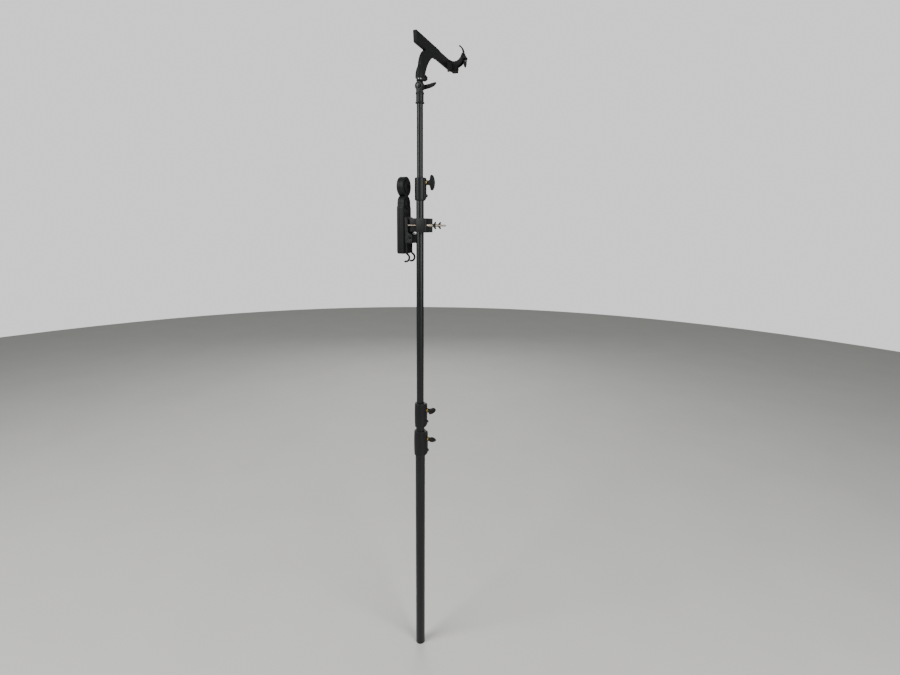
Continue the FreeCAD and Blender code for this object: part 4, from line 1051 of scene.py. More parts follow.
@dataclass
class Head:
    """The swivelling and tilting head, its lever and its plated stud.

    Attributes:
        shop: Where pieces are made.
        lever_thickness: Thickness of the lever's wing.
        platform_height: Height of the knurled platform under the stud.
        wing: Stations of the lever as across, up, half height and half thickness.
    """

    shop: Workshop
    lever_thickness: float = 7.0
    platform_height: float = 5.0
    wing: tuple = field(default=(
        (-7.4, 0.0, 3.6, 2.0), (-5.4, 0.0, 5.9, 3.2), (-1, 0.0, 7.6, 3.5), (6, 0.2, 7.3, 3.5),
        (12, 0.9, 6.6, 3.5), (20, 1.8, 6.6, 3.5), (28, 3.1, 6.4, 3.4), (35, 4.9, 5.9, 3.2),
        (41, 6.8, 5.0, 2.9), (45, 8.5, 3.9, 2.5), (47.2, 9.7, 2.4, 1.8), (47.9, 10.3, 1.0, 0.8),
    ))

    def build(self) -> None:
        """Make the head's parts."""
        self.pivot = self.shop.middle("friction_washer")[2]
        self.socket()
        self.top()
        self.bolt()
        self.lever()
        self.stud()
        self.spigot()
        self.shop.dress("friction_washer", BEARING_NYLON)
        self.shop.dress("socket_screw", BLACK_OXIDE)

    def ear(self, low: float, high: float, radius: float) -> Shell:
        """A disc across the tilt axis with rounded rims and a shallow dish in its outer face."""
        flat = high if abs(high) > abs(low) else low
        way = 1 if flat > 0 else -1
        inner = low if flat == high else high
        profile = soft_profile(
            [(inner, 5), (inner, radius - 0.3), (flat - way * 1.6, radius), (flat, radius - 1.8),
             (flat, radius - 3.6), (flat - way * 0.9, radius - 4.4), (flat - way * 0.9, 5)], 0.5)
        return turned(profile, Facing.Y, (0, 0, self.pivot), steps=72)

    def socket(self) -> None:
        """Sleeve with a knurled ring, blended up into its ear."""
        low, high = self.shop.low("swivel_socket"), self.shop.high("swivel_socket")
        foot, outer = low[2], high[0]
        ring_top = foot + 30
        sleeve = turned(
            soft_profile(
                [(foot, 8.2), (foot, outer), (foot + 3, outer, 1), (foot + 4.6, 12, 1.5),
                 (ring_top - 3.4, 12), (ring_top - 3, 13.4), (ring_top, 13.4),
                 (ring_top + 0.6, 12), (foot + 34, 12), (foot + 34, 4)], 0.6),
            Facing.Z, (0, 0, 0), steps=120,
            ripple=lambda along, angle: 1 - 0.018 * (1 + np.cos(30 * angle))
            * ((along > ring_top - 2.9) & (along < ring_top)))
        ear_low, ear_high = -11.0, -0.6
        middle = (ear_low + ear_high) / 2
        neck = stacked(
            [(foot + 28, 0, middle * 0.2, 10.6, 10.6), (foot + 33, 0, middle * 0.5, 10.2, 7.8),
             (foot + 37, 0, middle * 0.9, 9.9, 5.2), (foot + 41, 0, middle, 10, 5.0),
             (self.pivot, 0, middle, 10.4, 4.9)], Facing.Z, power=3.4)
        self.shop.make("swivel_socket_casting", [sleeve, neck, self.ear(ear_low, ear_high, 13)],
                       CAST_PAINTED, Slot.POWDER, ["swivel_socket"])

    def top(self) -> None:
        """Upper ear and the knurled platform that the stud stands on."""
        top = self.shop.high("swivel_head")[2]
        platform = top - self.platform_height
        disc = turned(
            soft_profile([(platform, 5), (platform, 10), (platform + 1, 11), (top, 11), (top, 5)],
                         0.6),
            Facing.Z, (0, 0, 0), steps=120,
            ripple=lambda along, angle: 1 - 0.012 * (1 + np.cos(36 * angle))
            * ((along > platform + 0.9) & (along < top - 0.5)))
        web = stacked(
            [(self.pivot, 0, 5.4, 9, 4.6), (self.pivot + 8, 0, 5.2, 8.6, 4.4),
             (platform - 1.5, 0, 4.4, 8.8, 3.7), (platform + 1, 0, 3.4, 9.3, 4.4)],
            Facing.Z, power=3.4)
        self.shop.make("swivel_head_casting", [disc, web, self.ear(0.6, 11, 13)],
                       CAST_PAINTED, Slot.POWDER, ["swivel_head"])

    def bolt(self) -> None:
        """Tilt bolt with a chamfered hexagon head."""
        low, high = self.shop.low("pivot_bolt"), self.shop.high("pivot_bolt")
        head = (high[0] - low[0]) / 2
        seat = low[1] + 4.5
        across = head * math.cos(math.pi / 6)

        def hexagon(along: Array, angle: Array) -> Array:
            """Factor that turns the head's circle into a hexagon, but not its chamfer."""
            side = (angle + math.pi / 6) % (math.pi / 3) - math.pi / 6
            return np.where((along > low[1] + 0.7) & (along < seat - 0.01), 1 / np.cos(side), 1)

        profile = [(low[1], across * 0.86), (low[1] + 0.15, across * 0.93),
                   (low[1] + 0.8, across), (seat - 0.2, across), (seat, across), (seat, 4),
                   (high[1] - 0.6, 4), (high[1], 3.4)]
        shell = turned(profile, Facing.Y, (0, 0, self.pivot), steps=72, ripple=hexagon)
        self.shop.make("pivot_bolt_hexagon", [shell], BLACK_OXIDE, Slot.OXIDE, ["pivot_bolt"],
                       crease=25)

    def lever(self) -> None:
        """Wing-shaped lever: superellipse sections along it that swell, sweep up and close."""
        low, high = self.shop.low("pivot_lever"), self.shop.high("pivot_lever")
        end = high[1]
        middle = end - 0.6 - self.lever_thickness / 2
        sections = [(across, middle, self.pivot + up, thick, tall)
                    for across, up, tall, thick in self.wing]
        wing = stacked(sections, Facing.X, power=2.8, steps=72)
        hub = turned(
            soft_profile([(low[1], 4.3), (low[1], 8), (end - 0.4, 8), (end, 7), (end, 2)], 0.6),
            Facing.Y, (0, 0, self.pivot), steps=72)
        self.shop.make("pivot_lever_wing", [wing, hub], MOULDED_NYLON, Slot.MOULDED,
                       ["pivot_lever"], crease=50)

    def stud(self) -> None:
        """Plated stud with its locking groove and a rounded nose."""
        low, high = self.shop.low("head_stud"), self.shop.high("head_stud")
        foot, top = self.shop.high("swivel_head")[2], high[2]
        groove = self.shop.middle("bracket_knob")[2]
        profile = soft_profile(
            [(low[2], 4), (low[2], 5), (foot, 5), (foot, 8), (groove - 5, 8), (groove - 4.6, 7),
             (groove + 4.6, 7), (groove + 5, 8), (top, 8, 1.2), (top, 2)], 0.3)
        self.shop.make("head_stud_plated", [turned(profile, Facing.Z, (0, 0, 0))],
                       CHROME_PLATE, Slot.CHROME, ["head_stud"])

    def spigot(self) -> None:
        """Spigot in the top tube, with a shoulder ring; its black oxide colour is painted shade, so
        that the ring shows as dark as the shade under the socket's foot.
        """
        low, high = self.shop.low("top_spigot"), self.shop.high("top_spigot")
        rim = self.shop.high("third_riser")[2]
        head, top = rim + 2, high[2]
        profile = soft_profile(
            [(low[2], 4), (low[2], 8.7), (rim, 8.7), (rim, 9.2), (head, 9.2), (head, 8),
             (head + 10, 8), (head + 10.4, 7), (head + 19.6, 7), (head + 20, 8), (top, 8, 1),
             (top, 2)], 0.3)
        # Black oxide here is painted shade: it darkens the shoulder ring to the shade that falls
        # under the socket's foot.
        self.shop.make("top_spigot_turned", [turned(profile, Facing.Z, (0, 0, 0))],
                       BLACK_OXIDE, Slot.OXIDE, ["top_spigot"])


def bulged(start: Sequence[float], end: Sequence[float], radius: float, left: bool,
           steps: int = 20) -> list[tuple[float, float]]:
    """Points of the short arc between two points, whose centre lies left or right of the way.

    Args:
        start: First point.
        end: Last point.
        radius: The arc's radius.
        left: True when the centre is on the left.
        steps: Number of points.

    Returns:
        The points, both ends included.
    """
    first, last = np.array(start, float), np.array(end, float)
    chord = last - first
    length = float(np.linalg.norm(chord))
    rise = math.sqrt(max(radius ** 2 - length ** 2 / 4, 0))
    across = np.array([-chord[1], chord[0]]) / length
    centre = (first + last) / 2 + across * (rise if left else -rise)
    begin = math.atan2(first[1] - centre[1], first[0] - centre[0])
    finish = math.atan2(last[1] - centre[1], last[0] - centre[0])
    sweep = (finish - begin + math.pi) % FULL_TURN - math.pi
    angles = begin + sweep * np.linspace(0, 1, steps)
    return list(zip(centre[0] + radius * np.cos(angles), centre[1] + radius * np.sin(angles)))


@dataclass
class Bracket:
    """The swan-necked bracket, its arm and the latched roller cradle.

    Attributes:
        shop: Where pieces are made.
        thickness: Half the bracket's thickness.
        rim: Rounding of the bracket's edges.
        roller: Radius of the roller's tube.
        pad: Thickness of the cradle's lining.
        skin: Wall that the latch's slot leaves behind the lining.
        rail_height: Height of the rail.
        socket_seen: Length of the metal socket that is built, from its rim up.
    """

    shop: Workshop
    thickness: float = 6.0
    rim: float = 1.7
    roller: float = 25.0
    pad: float = 2.0
    skin: float = 3.5
    rail_height: float = 33.0
    socket_seen: float = 16.0

    def build(self) -> None:
        """Make the bracket from its shells to its screws."""
        self.foot = self.shop.low("bracket_right_shell")[2]
        self.rail_top = self.shop.high("bracket_right_shell")[2]
        self.rail_bottom = self.rail_top - self.rail_height
        self.near_top = self.shop.low("bracket_right_shell")[1]
        self.across = self.shop.low("cradle")[0] + 18.8
        self.level = self.foot + 140.6
        self.near, self.far = self.shop.low("cradle_pad")[1], self.shop.high("cradle_pad")[1]
        self.shells()
        self.socket()
        self.knob()
        self.arm()
        self.cradle()
        self.lining()
        self.latch()
        self.fasteners()

    def outline(self) -> list[tuple[float, float]]:
        """Side view of the bracket, anticlockwise from the foot."""
        foot, bottom, top = self.foot, self.rail_bottom, self.rail_top
        right = bulged((29, foot + 16), (106, bottom), 130, left=False)
        left = bulged((36, bottom), (-3, foot + 42), 75, left=True)
        line = soft_profile(
            [(-10.9, foot), (27, foot), (29, foot + 16, 20)] + [(p[0], p[1], 0) for p in right[1:-1]]
            + [(106, bottom, 4), (128, bottom, 3), (154, top, 3), (self.near_top, top, 3),
               (-34, bottom, 4), (36, bottom, 3)] + [(p[0], p[1], 0) for p in left[1:-1]]
            + [(-3, foot + 42, 30)], 2.0, closed=True, steps=7)
        return line

    def shells(self) -> None:
        """Both moulded halves: a blade with a rolled outer rim, a half-round boss, screw wells
        and a shallow groove where the halves meet."""
        middle = (self.rail_bottom + self.rail_top) / 2
        for side, node in ((1, "bracket_right_shell"), (-1, "bracket_left_shell")):
            holes = [circle_loop((24, middle), 3.2), circle_loop((118, middle), 3.2)]
            loops = [self.outline()] + holes
            if side > 0:
                blade = plate(loops, Facing.X, 0.05, self.thickness, 0.25, self.rim)
            else:
                blade = plate([self.outline()], Facing.X, -self.thickness, -0.05, self.rim, 0.25)
            self.shop.make(node + "_moulding", [blade, self.boss(side)], MOULDED_NYLON,
                           Slot.MOULDED, [node])

    def boss(self, side: int) -> Shell:
        """Half of the boss round the stud. Each section is half a superellipse outside and half
        a circle inside; going up, its middle drifts along the arm and it narrows to the blade.

        Args:
            side: One for the right half and minus one for the left.

        Returns:
            The closed half.
        """
        # rise, outer middle, half across, half along, bore, bore middle
        rows = np.array([
            (0.0, 0.0, 13.0, 13.0, 11.6, 0.0), (0.35, 0.0, 13.6, 13.6, 11.15, 0.0),
            (1.2, 0.0, 13.95, 13.95, 11.05, 0.0), (10, 0.0, 13.9, 13.95, 11.05, 0.0),
            (17, 0.6, 13.2, 13.6, 11.05, 0.0), (24, 1.9, 12.0, 13.2, 9.2, 0.0),
            (29, 3.2, 10.4, 12.9, 8.3, 0.0), (32.8, 4.6, 9.1, 12.4, 8.2, 0.0),
            (33.6, 5.0, 8.8, 12.2, 5.0, 2.0), (36.5, 6.6, 7.4, 11.6, 3.0, 6.0),
            (38.9, 8.0, 6.15, 10.8, 2.0, 8.0)])
        levels = np.linspace(0, rows[-1, 0], 44)
        levels = np.unique(np.concatenate([levels, rows[:, 0]]))
        middle, wide, deep, bore, centre = (
            np.interp(levels, rows[:, 0], rows[:, k])[:, None] for k in range(1, 6))
        outer_angle = np.linspace(-math.pi / 2, math.pi / 2, 48)[None]
        inner_angle = outer_angle[:, ::-1]
        across = np.hstack([wide * np.cos(outer_angle), bore * np.cos(inner_angle)]) * side
        across += 0.05 * side
        along = np.hstack([middle + deep * np.sin(outer_angle), centre + bore * np.sin(inner_angle)])
        sections = np.stack([across, along], axis=-1)
        return lofted(sections[:, ::side], self.foot + levels, Facing.Z)

    def socket(self) -> None:
        """Metal socket whose rim shows under the bracket."""
        low = self.shop.low("stud_socket")[2]
        shell = turned(rounded_ends(low, low + self.socket_seen, 8.06, 11, 0.5), Facing.Z, (0, 0, 0),
                       ring=True)
        self.shop.make("stud_socket_turned", [shell], ZINC_PLATE, Slot.ZINC, ["stud_socket"])

    def knob(self) -> None:
        """Eight-lobed knob: radius falls by a cosine of eight times the angle on its flank."""
        low, high = self.shop.low("bracket_knob"), self.shop.high("bracket_knob")
        start, end, radius = high[1] - 14, high[1], (high[2] - low[2]) / 2
        profile = soft_profile(
            [(low[1], 2), (low[1] + 0.5, 3), (start, 3), (start, radius - 3),
             (start + 2.5, radius - 0.1), (end - 3, radius - 0.1, 2.5), (end - 0.2, radius - 3.6),
             (end - 0.2, 4.4), (end - 0.9, 4), (end - 0.9, 1)], 0.6)
        shell = turned(
            profile, Facing.Y, (0, 0, self.shop.middle("bracket_knob")[2]), steps=128,
            ripple=lambda along, angle: 1 - 0.075 * np.clip(1 + np.cos(8 * angle), 0, 2) ** 1.5
            / 2 ** 0.5 * (along > start + 0.5) * (along < end - 0.4))
        self.shop.make("bracket_knob_lobes", [shell], MOULDED_NYLON, Slot.MOULDED,
                       ["bracket_knob"], crease=55)

    def arm(self) -> None:
        """Flat bar with a softened rim and a rounded nose."""
        low, high = self.shop.low("roller_arm"), self.shop.high("roller_arm")
        bottom, top = self.rail_bottom, self.rail_top
        tongue_low, tongue_high = bottom + 4, top - 4
        ends = {level: 128 + (level - bottom) * 26 / 33 + 0.3
                for level in (tongue_low, bottom, top, tongue_high)}
        loop = soft_profile(
            [(low[1], tongue_low), (ends[tongue_low], tongue_low, 0), (ends[bottom], bottom),
             (high[1] - 8, bottom, 3), (high[1], bottom + 8, 3), (high[1], top, 2),
             (ends[top], top), (ends[tongue_high], tongue_high, 0), (low[1], tongue_high)],
            0.8, closed=True)
        bar = plate([loop], Facing.X, -3, 3, 0.8, 0.8)
        self.shop.make("roller_arm_bar", [bar], POWDER_BAR, Slot.POWDER, ["roller_arm"])

    def on_circle(self, radius: float, offset: float) -> float:
        """Half chord of a circle at an offset from its centre."""
        return math.sqrt(radius ** 2 - offset ** 2)

    def saddle(self) -> list[tuple[float, float]]:
        """Outline of the cradle looking along the roller."""
        across, level = self.across, self.level
        well = self.roller + self.pad
        start = math.degrees(math.atan2(-2, self.on_circle(well, 2)))
        left = math.degrees(math.atan2(
            -self.on_circle(well, across - 3.1), 3.1 - across))
        inner = arc((across, level), well, start, left if left < 0 else left - 360, 44)
        tip = across + self.on_circle(well, 2)
        bottom, shoulder = level - 57.5, level - 41.5
        outer = bulged((across + 27.5, level - 27), (tip + 4, level - 8), well + 8, left=True)
        line = [(3.1, bottom + 5, 1), (9, bottom, 2), (27, bottom, 2), (28, bottom + 1, 0),
                (28, shoulder, 3), (across + 20, level - 34.5, 6)]
        line += [(p[0], p[1], 0) for p in outer[:-1]]
        line += [(tip + 3.8, level - 2, 1.6)] + [(p[0], p[1], 0) for p in inner]
        return soft_profile(line, 1.0, closed=True)

    def cradle(self) -> None:
        """Saddle in three slices, so that the latch lies in a slot between two cheeks, with its
        gusset to the arm and ears round the latch's pin."""
        across, level = self.across, self.level
        slot = (self.shop.low("latch")[1] - 0.4, self.shop.high("latch")[1] + 0.4)
        pivot = self.shop.middle("latch_pin")
        cheeks = [(self.near, slot[0]), (slot[1], self.far)]
        shells = []
        for low, high in cheeks:
            shells.append(plate([self.saddle()], Facing.Y, low, high, 0.7, 0.7))
            shells.append(plate([self.ear_outline(pivot)], Facing.Y, low, high, 0.7, 0.7))
        well, skin = self.roller + self.pad, self.roller + self.pad + self.skin
        left = math.degrees(math.atan2(-self.on_circle(well, across - 3.2), 3.2 - across))
        inner = arc((across, level), well, -6, left, 40)
        block = [(3.2, level - 52.5, 1), (9, level - 57.3, 2), (27.8, level - 57.3, 2),
                 (27.8, level - 41, 3)]
        slice_line = block + [(p[0], p[1], 0) for p in arc((across, level), skin, -76, -8, 30)]
        slice_line += [(p[0], p[1], 0) for p in inner]
        shells.append(plate([soft_profile(slice_line, 0.5, closed=True)], Facing.Y,
                            slot[0] - 1, slot[1] + 1, 0.2, 0.2))
        gusset = [(3.1, self.near - 22), (4.2, self.near - 22), (14, self.near - 0.4),
                  (14, self.near + 3), (3.1, self.near + 3)]
        shells.append(plate([soft_profile(gusset, 0.8, closed=True)], Facing.Z,
                            level - 52.5, level - 28.2, 0.6, 0.6))
        self.shop.make("cradle_moulding", shells, MOULDED_NYLON, Slot.MOULDED, ["cradle"])

    def ear_outline(self, pivot: Array) -> list[tuple[float, float]]:
        """Outline of an ear: a round end on the latch's pin that runs back into the saddle."""
        nose = arc((pivot[0], pivot[2]), 4.4, -90, 90, 18)
        return nose + [(self.across + 27.6, pivot[2] + 4.4), (self.across + 27.6, pivot[2] - 4.4)]

    def lining(self) -> None:
        """Rubber lining with seven shallow grooves across it, a cosine on its inner radius."""
        across, level = self.across, self.level
        low = math.degrees(math.atan2(-self.on_circle(self.roller, across - 5), 5 - across))
        high = -math.degrees(math.asin(3.5 / self.roller))
        inner_angle = np.linspace(high, low, 120)
        ripple = 0.25 * (1 - np.cos(np.linspace(0, 14 * math.pi, 120)))
        angles = np.radians(inner_angle)
        inner = list(zip(across + (self.roller + ripple) * np.cos(angles),
                         level + (self.roller + ripple) * np.sin(angles)))
        outer = arc((across, level), self.roller + self.pad - 0.08, low, high, 60)
        shell = plate([outer + inner], Facing.Y, self.near, self.far, 0.3, 0.3)
        self.shop.make("cradle_lining", [shell], EPDM_RUBBER, Slot.RUBBER, ["cradle_pad"],
                       crease=50)

    def latch(self) -> None:
        """Sprung finger with a knuckle, an eye and a thumb tab, all in one flat profile."""
        low, high = self.shop.low("latch"), self.shop.high("latch")
        pivot = self.shop.middle("latch_pin")
        across, level = pivot[0], pivot[2]
        finger_inner = arc((self.across, self.level), self.roller + 1.5, 62, 2, 26)
        finger_outer = [(x + 2.6 + 2.0 * share, y + 3.0 * (1 - share) + 0.6)
                        for (x, y), share in zip(finger_inner[::-1], np.linspace(1, 0.25, 26))]
        finger = [(across + 3.4, level + 2)] + finger_outer + [
            (finger_inner[0][0] - 0.2, finger_inner[0][1] + 0.5)] + finger_inner + [
            (across - 3.6, level + 3), (across - 3.6, level)]
        knuckle = arc((across, level), 3.95, 0, 360, 48)[:-1]
        eye = arc((across - 1, level - 10), 5.45, 0, 360, 48)[:-1]
        tab = soft_profile(
            [(across - 4.6, level - 12), (across - 5, level - 19, 8), (across - 2, level - 29.9, 1),
             (across, level - 29.9, 1), (across + 4, level - 20, 8), (across + 3.4, level - 12)],
            1.0, closed=True)
        pin_hole = circle_loop((across, level), 1.56, 24)
        eye_hole = circle_loop((across - 1, level - 10), 3.2, 36)
        shells = [
            plate([finger], Facing.Y, low[1], high[1], 0.35, 0.35),
            plate([knuckle, pin_hole], Facing.Y, low[1], high[1], 0.5, 0.5),
            plate([eye, eye_hole], Facing.Y, low[1], high[1], 0.9, 0.9),
            plate([tab], Facing.Y, low[1], high[1], 0.7, 0.7)]
        self.shop.make("latch_finger", shells, MOULDED_NYLON, Slot.MOULDED, ["latch"])
        pin_low, pin_high = self.shop.low("latch_pin"), self.shop.high("latch_pin")
        radius = (pin_high[0] - pin_low[0]) / 2
        profile = soft_profile([(pin_low[1], 0.4), (pin_low[1], radius, 0.5),
                                (pin_high[1], radius, 0.5), (pin_high[1], 0.4)], 0.5)
        self.shop.make("latch_pin_drawn", [turned(profile, Facing.Y, (across, 0, level), steps=32)],
                       ZINC_PLATE, Slot.ZINC, ["latch_pin"])

    def fasteners(self) -> None:
        """Two countersunk shell screws with cross recesses and the cradle's hexagon bolt."""
        middle = (self.rail_bottom + self.rail_top) / 2
        shells = []
        face = self.thickness

        def cross(along: Array, angle: Array) -> Array:
            """Factor that draws the recess in to a four-armed cross."""
            arms = 0.5 + 0.5 * np.cos(4 * angle)
            recess = np.zeros(along.shape, bool)
            recess[-3:] = True
            return np.where(recess, 0.42 + 0.58 * arms ** 2, 1)

        for place in (24, 118):
            profile = [(-4, 1), (-4, 1.8), (face, 1.8), (face, 2.7), (face + 0.2, 2.95),
                       (face + 0.8, 2.8), (face + 1.3, 2.2), (face + 1.45, 1.95),
                       (face + 0.9, 1.6), (face + 0.1, 0.9)]
            shells.append(turned(profile, Facing.X, (0, place, middle), steps=48, ripple=cross))
        low, high = self.shop.low("bracket_fasteners"), self.shop.high("bracket_fasteners")
        bolt_level = self.level - 49.5
        centre = (0, 258, bolt_level)

        def hexagon(along: Array, angle: Array) -> Array:
            """Factor that turns head and nut into hexagons."""
            side = (angle + math.pi / 6) % (math.pi / 3) - math.pi / 6
            body = ((along < -3.2) & (along > low[0] + 0.5)) | (
                (along > 28.2) & (along < high[0] - 0.5))
            return np.where(body, 1 / np.cos(side), 1)

        profile = [(low[0], 3.2), (low[0] + 0.6, 3.85), (-3.3, 3.85), (-3.05, 3.8), (-3, 3),
                   (28, 3), (28.05, 3.8), (28.3, 3.85), (high[0] - 0.6, 3.85), (high[0], 3.2)]
        shells.append(turned(profile, Facing.X, centre, steps=72, ripple=hexagon))
        self.shop.make("bracket_fasteners_plated", shells, AGED_CHROMATE, Slot.BRONZED,
                       ["bracket_fasteners"], crease=28)


@dataclass
class Hanger:
    """The two-jaw clamp on the upper riser and the unit with discs and hooks on it.

    Attributes:
        shop: Where pieces are made.
        rim: Rounding of the case's outer rims.
        thread_pitch: Spacing of the rods' threads.
        thread_depth: Depth of the rods' threads.
        nut_hub: Length of a wing nut's hub.
        vent_level: Height of the vents above the case's foot.
        vent_lean: Degrees that a vent leans.
        vent_half: Half the length of a vent between its round ends.
        vent_radius: Radius of a vent's ends.
        notches: Notches round a disc's rim.
        notch_depth: Half a notch's depth as a share of the disc's radius.
        hook_side: Distance of each hook from the middle plane.
    """

    shop: Workshop
    rim: float = 3.0
    thread_pitch: float = 1.0
    thread_depth: float = 0.45
    nut_hub: float = 8.0
    vent_level: float = 125.0
    vent_lean: float = 28.0
    vent_half: float = 5.6
    vent_radius: float = 2.0
    notches: int = 54
    notch_depth: float = 0.006
    hook_side: float = 21.0

    def build(self) -> None:
        """Make the clamp and the hanger unit."""
        self.rods_level = self.shop.middle("clamp_rods")[2]
        self.outer_jaw()
        self.block()
        self.rods()
        self.nuts()
        self.case()
        self.discs()
        self.hooks()

    def outer_jaw(self) -> None:
        """Jaw with rounded outer corners and a groove that fits the riser."""
        low, high = self.shop.low("outer_jaw"), self.shop.high("outer_jaw")
        groove = self.shop.high("second_riser")[0] + 0.3
        mouth = arc((0, 0), groove, 90, -90, 36)
        corners = [(-2, -groove - 0.3, 0.3), (-2, low[1], 2), (high[0], low[1], 5),
                   (high[0], high[1], 5), (-2, high[1], 2), (-2, groove + 0.3, 0.3)]
        loop = soft_profile(corners + [(p[0], p[1], 0) for p in [(0, groove)] + mouth[1:-1]
                                       + [(0, -groove)]], 1, closed=True)
        shell = plate([loop], Facing.Z, low[2], high[2], 1.6, 1.6)
        self.shop.make("outer_jaw_casting", [shell], CAST_PAINTED, Slot.POWDER, ["outer_jaw"])

    def block(self) -> None:
        """Block with a stepped side view, its cross hole, and the inner jaw."""
        low, high = self.shop.low("clamp_block"), self.shop.high("clamp_block")
        face, front, foot = -46.0, -34.0, -19.0
        bottom, top = low[2], high[2]
        loop = soft_profile(
            [(face, bottom, 0.5), (foot - 3, bottom, 1), (foot, bottom + 3, 2),
             (foot, bottom + 27, 3), (front, bottom + 36, 4), (front, top - 8, 3),
             (front - 5, top, 3), (face, top, 0.5)], 1, closed=True)
        main = plate([loop, circle_loop((foot - 6, bottom + 16.5), 3)], Facing.Y, low[1], high[1],
                     1.5, 1.5)
        groove = self.shop.high("second_riser")[0] + 0.3
        half = 16.0
        corner = self.edge_of(groove, -3.5)
        mouth = arc((0, 0), groove, 180 - math.degrees(math.asin(corner / groove)),
                    180 + math.degrees(math.asin(corner / groove)), 30)
        jaw_loop = soft_profile(
            [(-3.5, half, 2), (front - 1, half, 0.5), (front - 1, -half, 0.5), (-3.5, -half, 2),
             (-3.5, -corner, 0.2)] + [(p[0], p[1], 0) for p in mouth[::-1][1:-1]]
            + [(-3.5, corner, 0.2)], 1, closed=True)
        jaw_low = self.shop.low("outer_jaw")[2] + 1
        jaw = plate([jaw_loop], Facing.Z, jaw_low, self.shop.high("outer_jaw")[2], 1.2, 1.2)
        self.shop.make("clamp_block_casting", [main, jaw], CAST_PAINTED, Slot.POWDER,
                       ["clamp_block"])

    def edge_of(self, radius: float, offset: float) -> float:
        """Half chord of the jaw's groove at an offset from the riser's axis."""
        return math.sqrt(radius ** 2 - offset ** 2)

    def rods(self) -> None:
        """Threaded rods, whose radius falls along a helix by a triangle wave of the distance
        along plus the share of a turn, and the plain sleeves on them."""
        low, high = self.shop.low("clamp_rods"), self.shop.high("clamp_rods")
        radius = (high[2] - low[2]) / 2
        start, end = low[0], high[0]
        along = np.arange(start + 1.2, end - 1.2, self.thread_pitch / 6)
        profile = [(start, radius - 0.9)] + [(a, radius) for a in along] + [(end, radius - 0.9)]

        def thread(place: Array, angle: Array) -> Array:
            """Factor on the radius at a place along and an angle round the rod."""
            phase = (place / self.thread_pitch + angle / FULL_TURN) % 1
            return 1 - self.thread_depth / radius * np.abs(2 * phase - 1)

        spread = (high[1] - low[1]) / 2 - radius
        rods = [turned(profile, Facing.X, (0, side * spread, self.rods_level), steps=20,
                       ripple=thread) for side in (-1, 1)]
        self.shop.make("clamp_rods_threaded", rods, ZINC_PLATE, Slot.ZINC, ["clamp_rods"],
                       crease=70)
        sleeve_low, sleeve_high = self.shop.low("rod_sleeves"), self.shop.high("rod_sleeves")
        outer = (sleeve_high[2] - sleeve_low[2]) / 2
        sleeves = [turned(rounded_ends(sleeve_low[0], sleeve_high[0], 3.06, outer, 0.6), Facing.X,
                          (0, side * spread, self.rods_level), ring=True, steps=48)
                   for side in (-1, 1)]
        self.shop.make("rod_sleeves_turned", sleeves, ZINC_PLATE, Slot.ZINC, ["rod_sleeves"])

    def nuts(self) -> None:
        """Wing nuts: a turned hub and two flared wings, each a rounded plate."""
        for node in ("front_wing_nut", "rear_wing_nut"):
            start, centre = self.shop.low(node)[0], self.shop.middle(node)
            end = start + self.nut_hub
            hub = turned(
                soft_profile([(start, 3.1), (start, 6), (start + 1.5, 6), (end, 4.8), (end, 3.1)],
                             0.5, closed=True),
                Facing.X, (0, centre[1], centre[2]), ring=True, steps=48)
            shells = [hub]
            for way in (1, -1):
                loop = [(start + 2, 3.4), (end - 0.8, 3.4), (end + 2, 9), (start + 8.6, 11.9),
                        (start + 5, 11.2), (start + 2.2, 7)]
                smooth = soft_profile(
                    [(x, centre[2] + way * z, 1.6) for x, z in (loop if way > 0 else loop[::-1])],
                    1.6, closed=True)
                shells.append(plate([smooth], Facing.Y, centre[1] - 1.7, centre[1] + 1.7, 1.1, 1.1))
            self.shop.make(node + "_cast", shells, BLACK_OXIDE, Slot.OXIDE, [node])

    def outline(self) -> list[tuple[float, float]]:
        """Front view of the case, anticlockwise from its foot."""
        low, high = self.shop.low("hanger_front_shell"), self.shop.high("hanger_front_shell")
        bottom, half = low[2], high[1]
        shoulder = bottom + 148
        low_level, low_radius, top_radius = bottom + 162, 26.0, 31.0
        top_level = high[2] - top_radius
        waist = (10.4, bottom + 185.8)
        right_low = arc((0, low_level), low_radius, 0,
                        math.degrees(math.atan2(waist[1] - low_level, waist[0])), 20)
        begin = math.degrees(math.atan2(waist[1] - top_level, waist[0]))
        upper = arc((0, top_level), top_radius, begin, 180 - begin, 90)
        left_low = [(-x, z) for x, z in right_low[::-1]]
        free = [(p[0], p[1], 0) for p in right_low] + [(p[0], p[1], 0) for p in upper[1:-1]]
        free += [(p[0], p[1], 0) for p in left_low]
        line = [(half, bottom, 8), (half - 2, shoulder, 3), (low_radius, low_level - 5, 3)] + free
        line += [(-low_radius, low_level - 5, 3), (2 - half, shoulder, 3), (-half, bottom, 8)]
        return soft_profile(line, 1, closed=True)

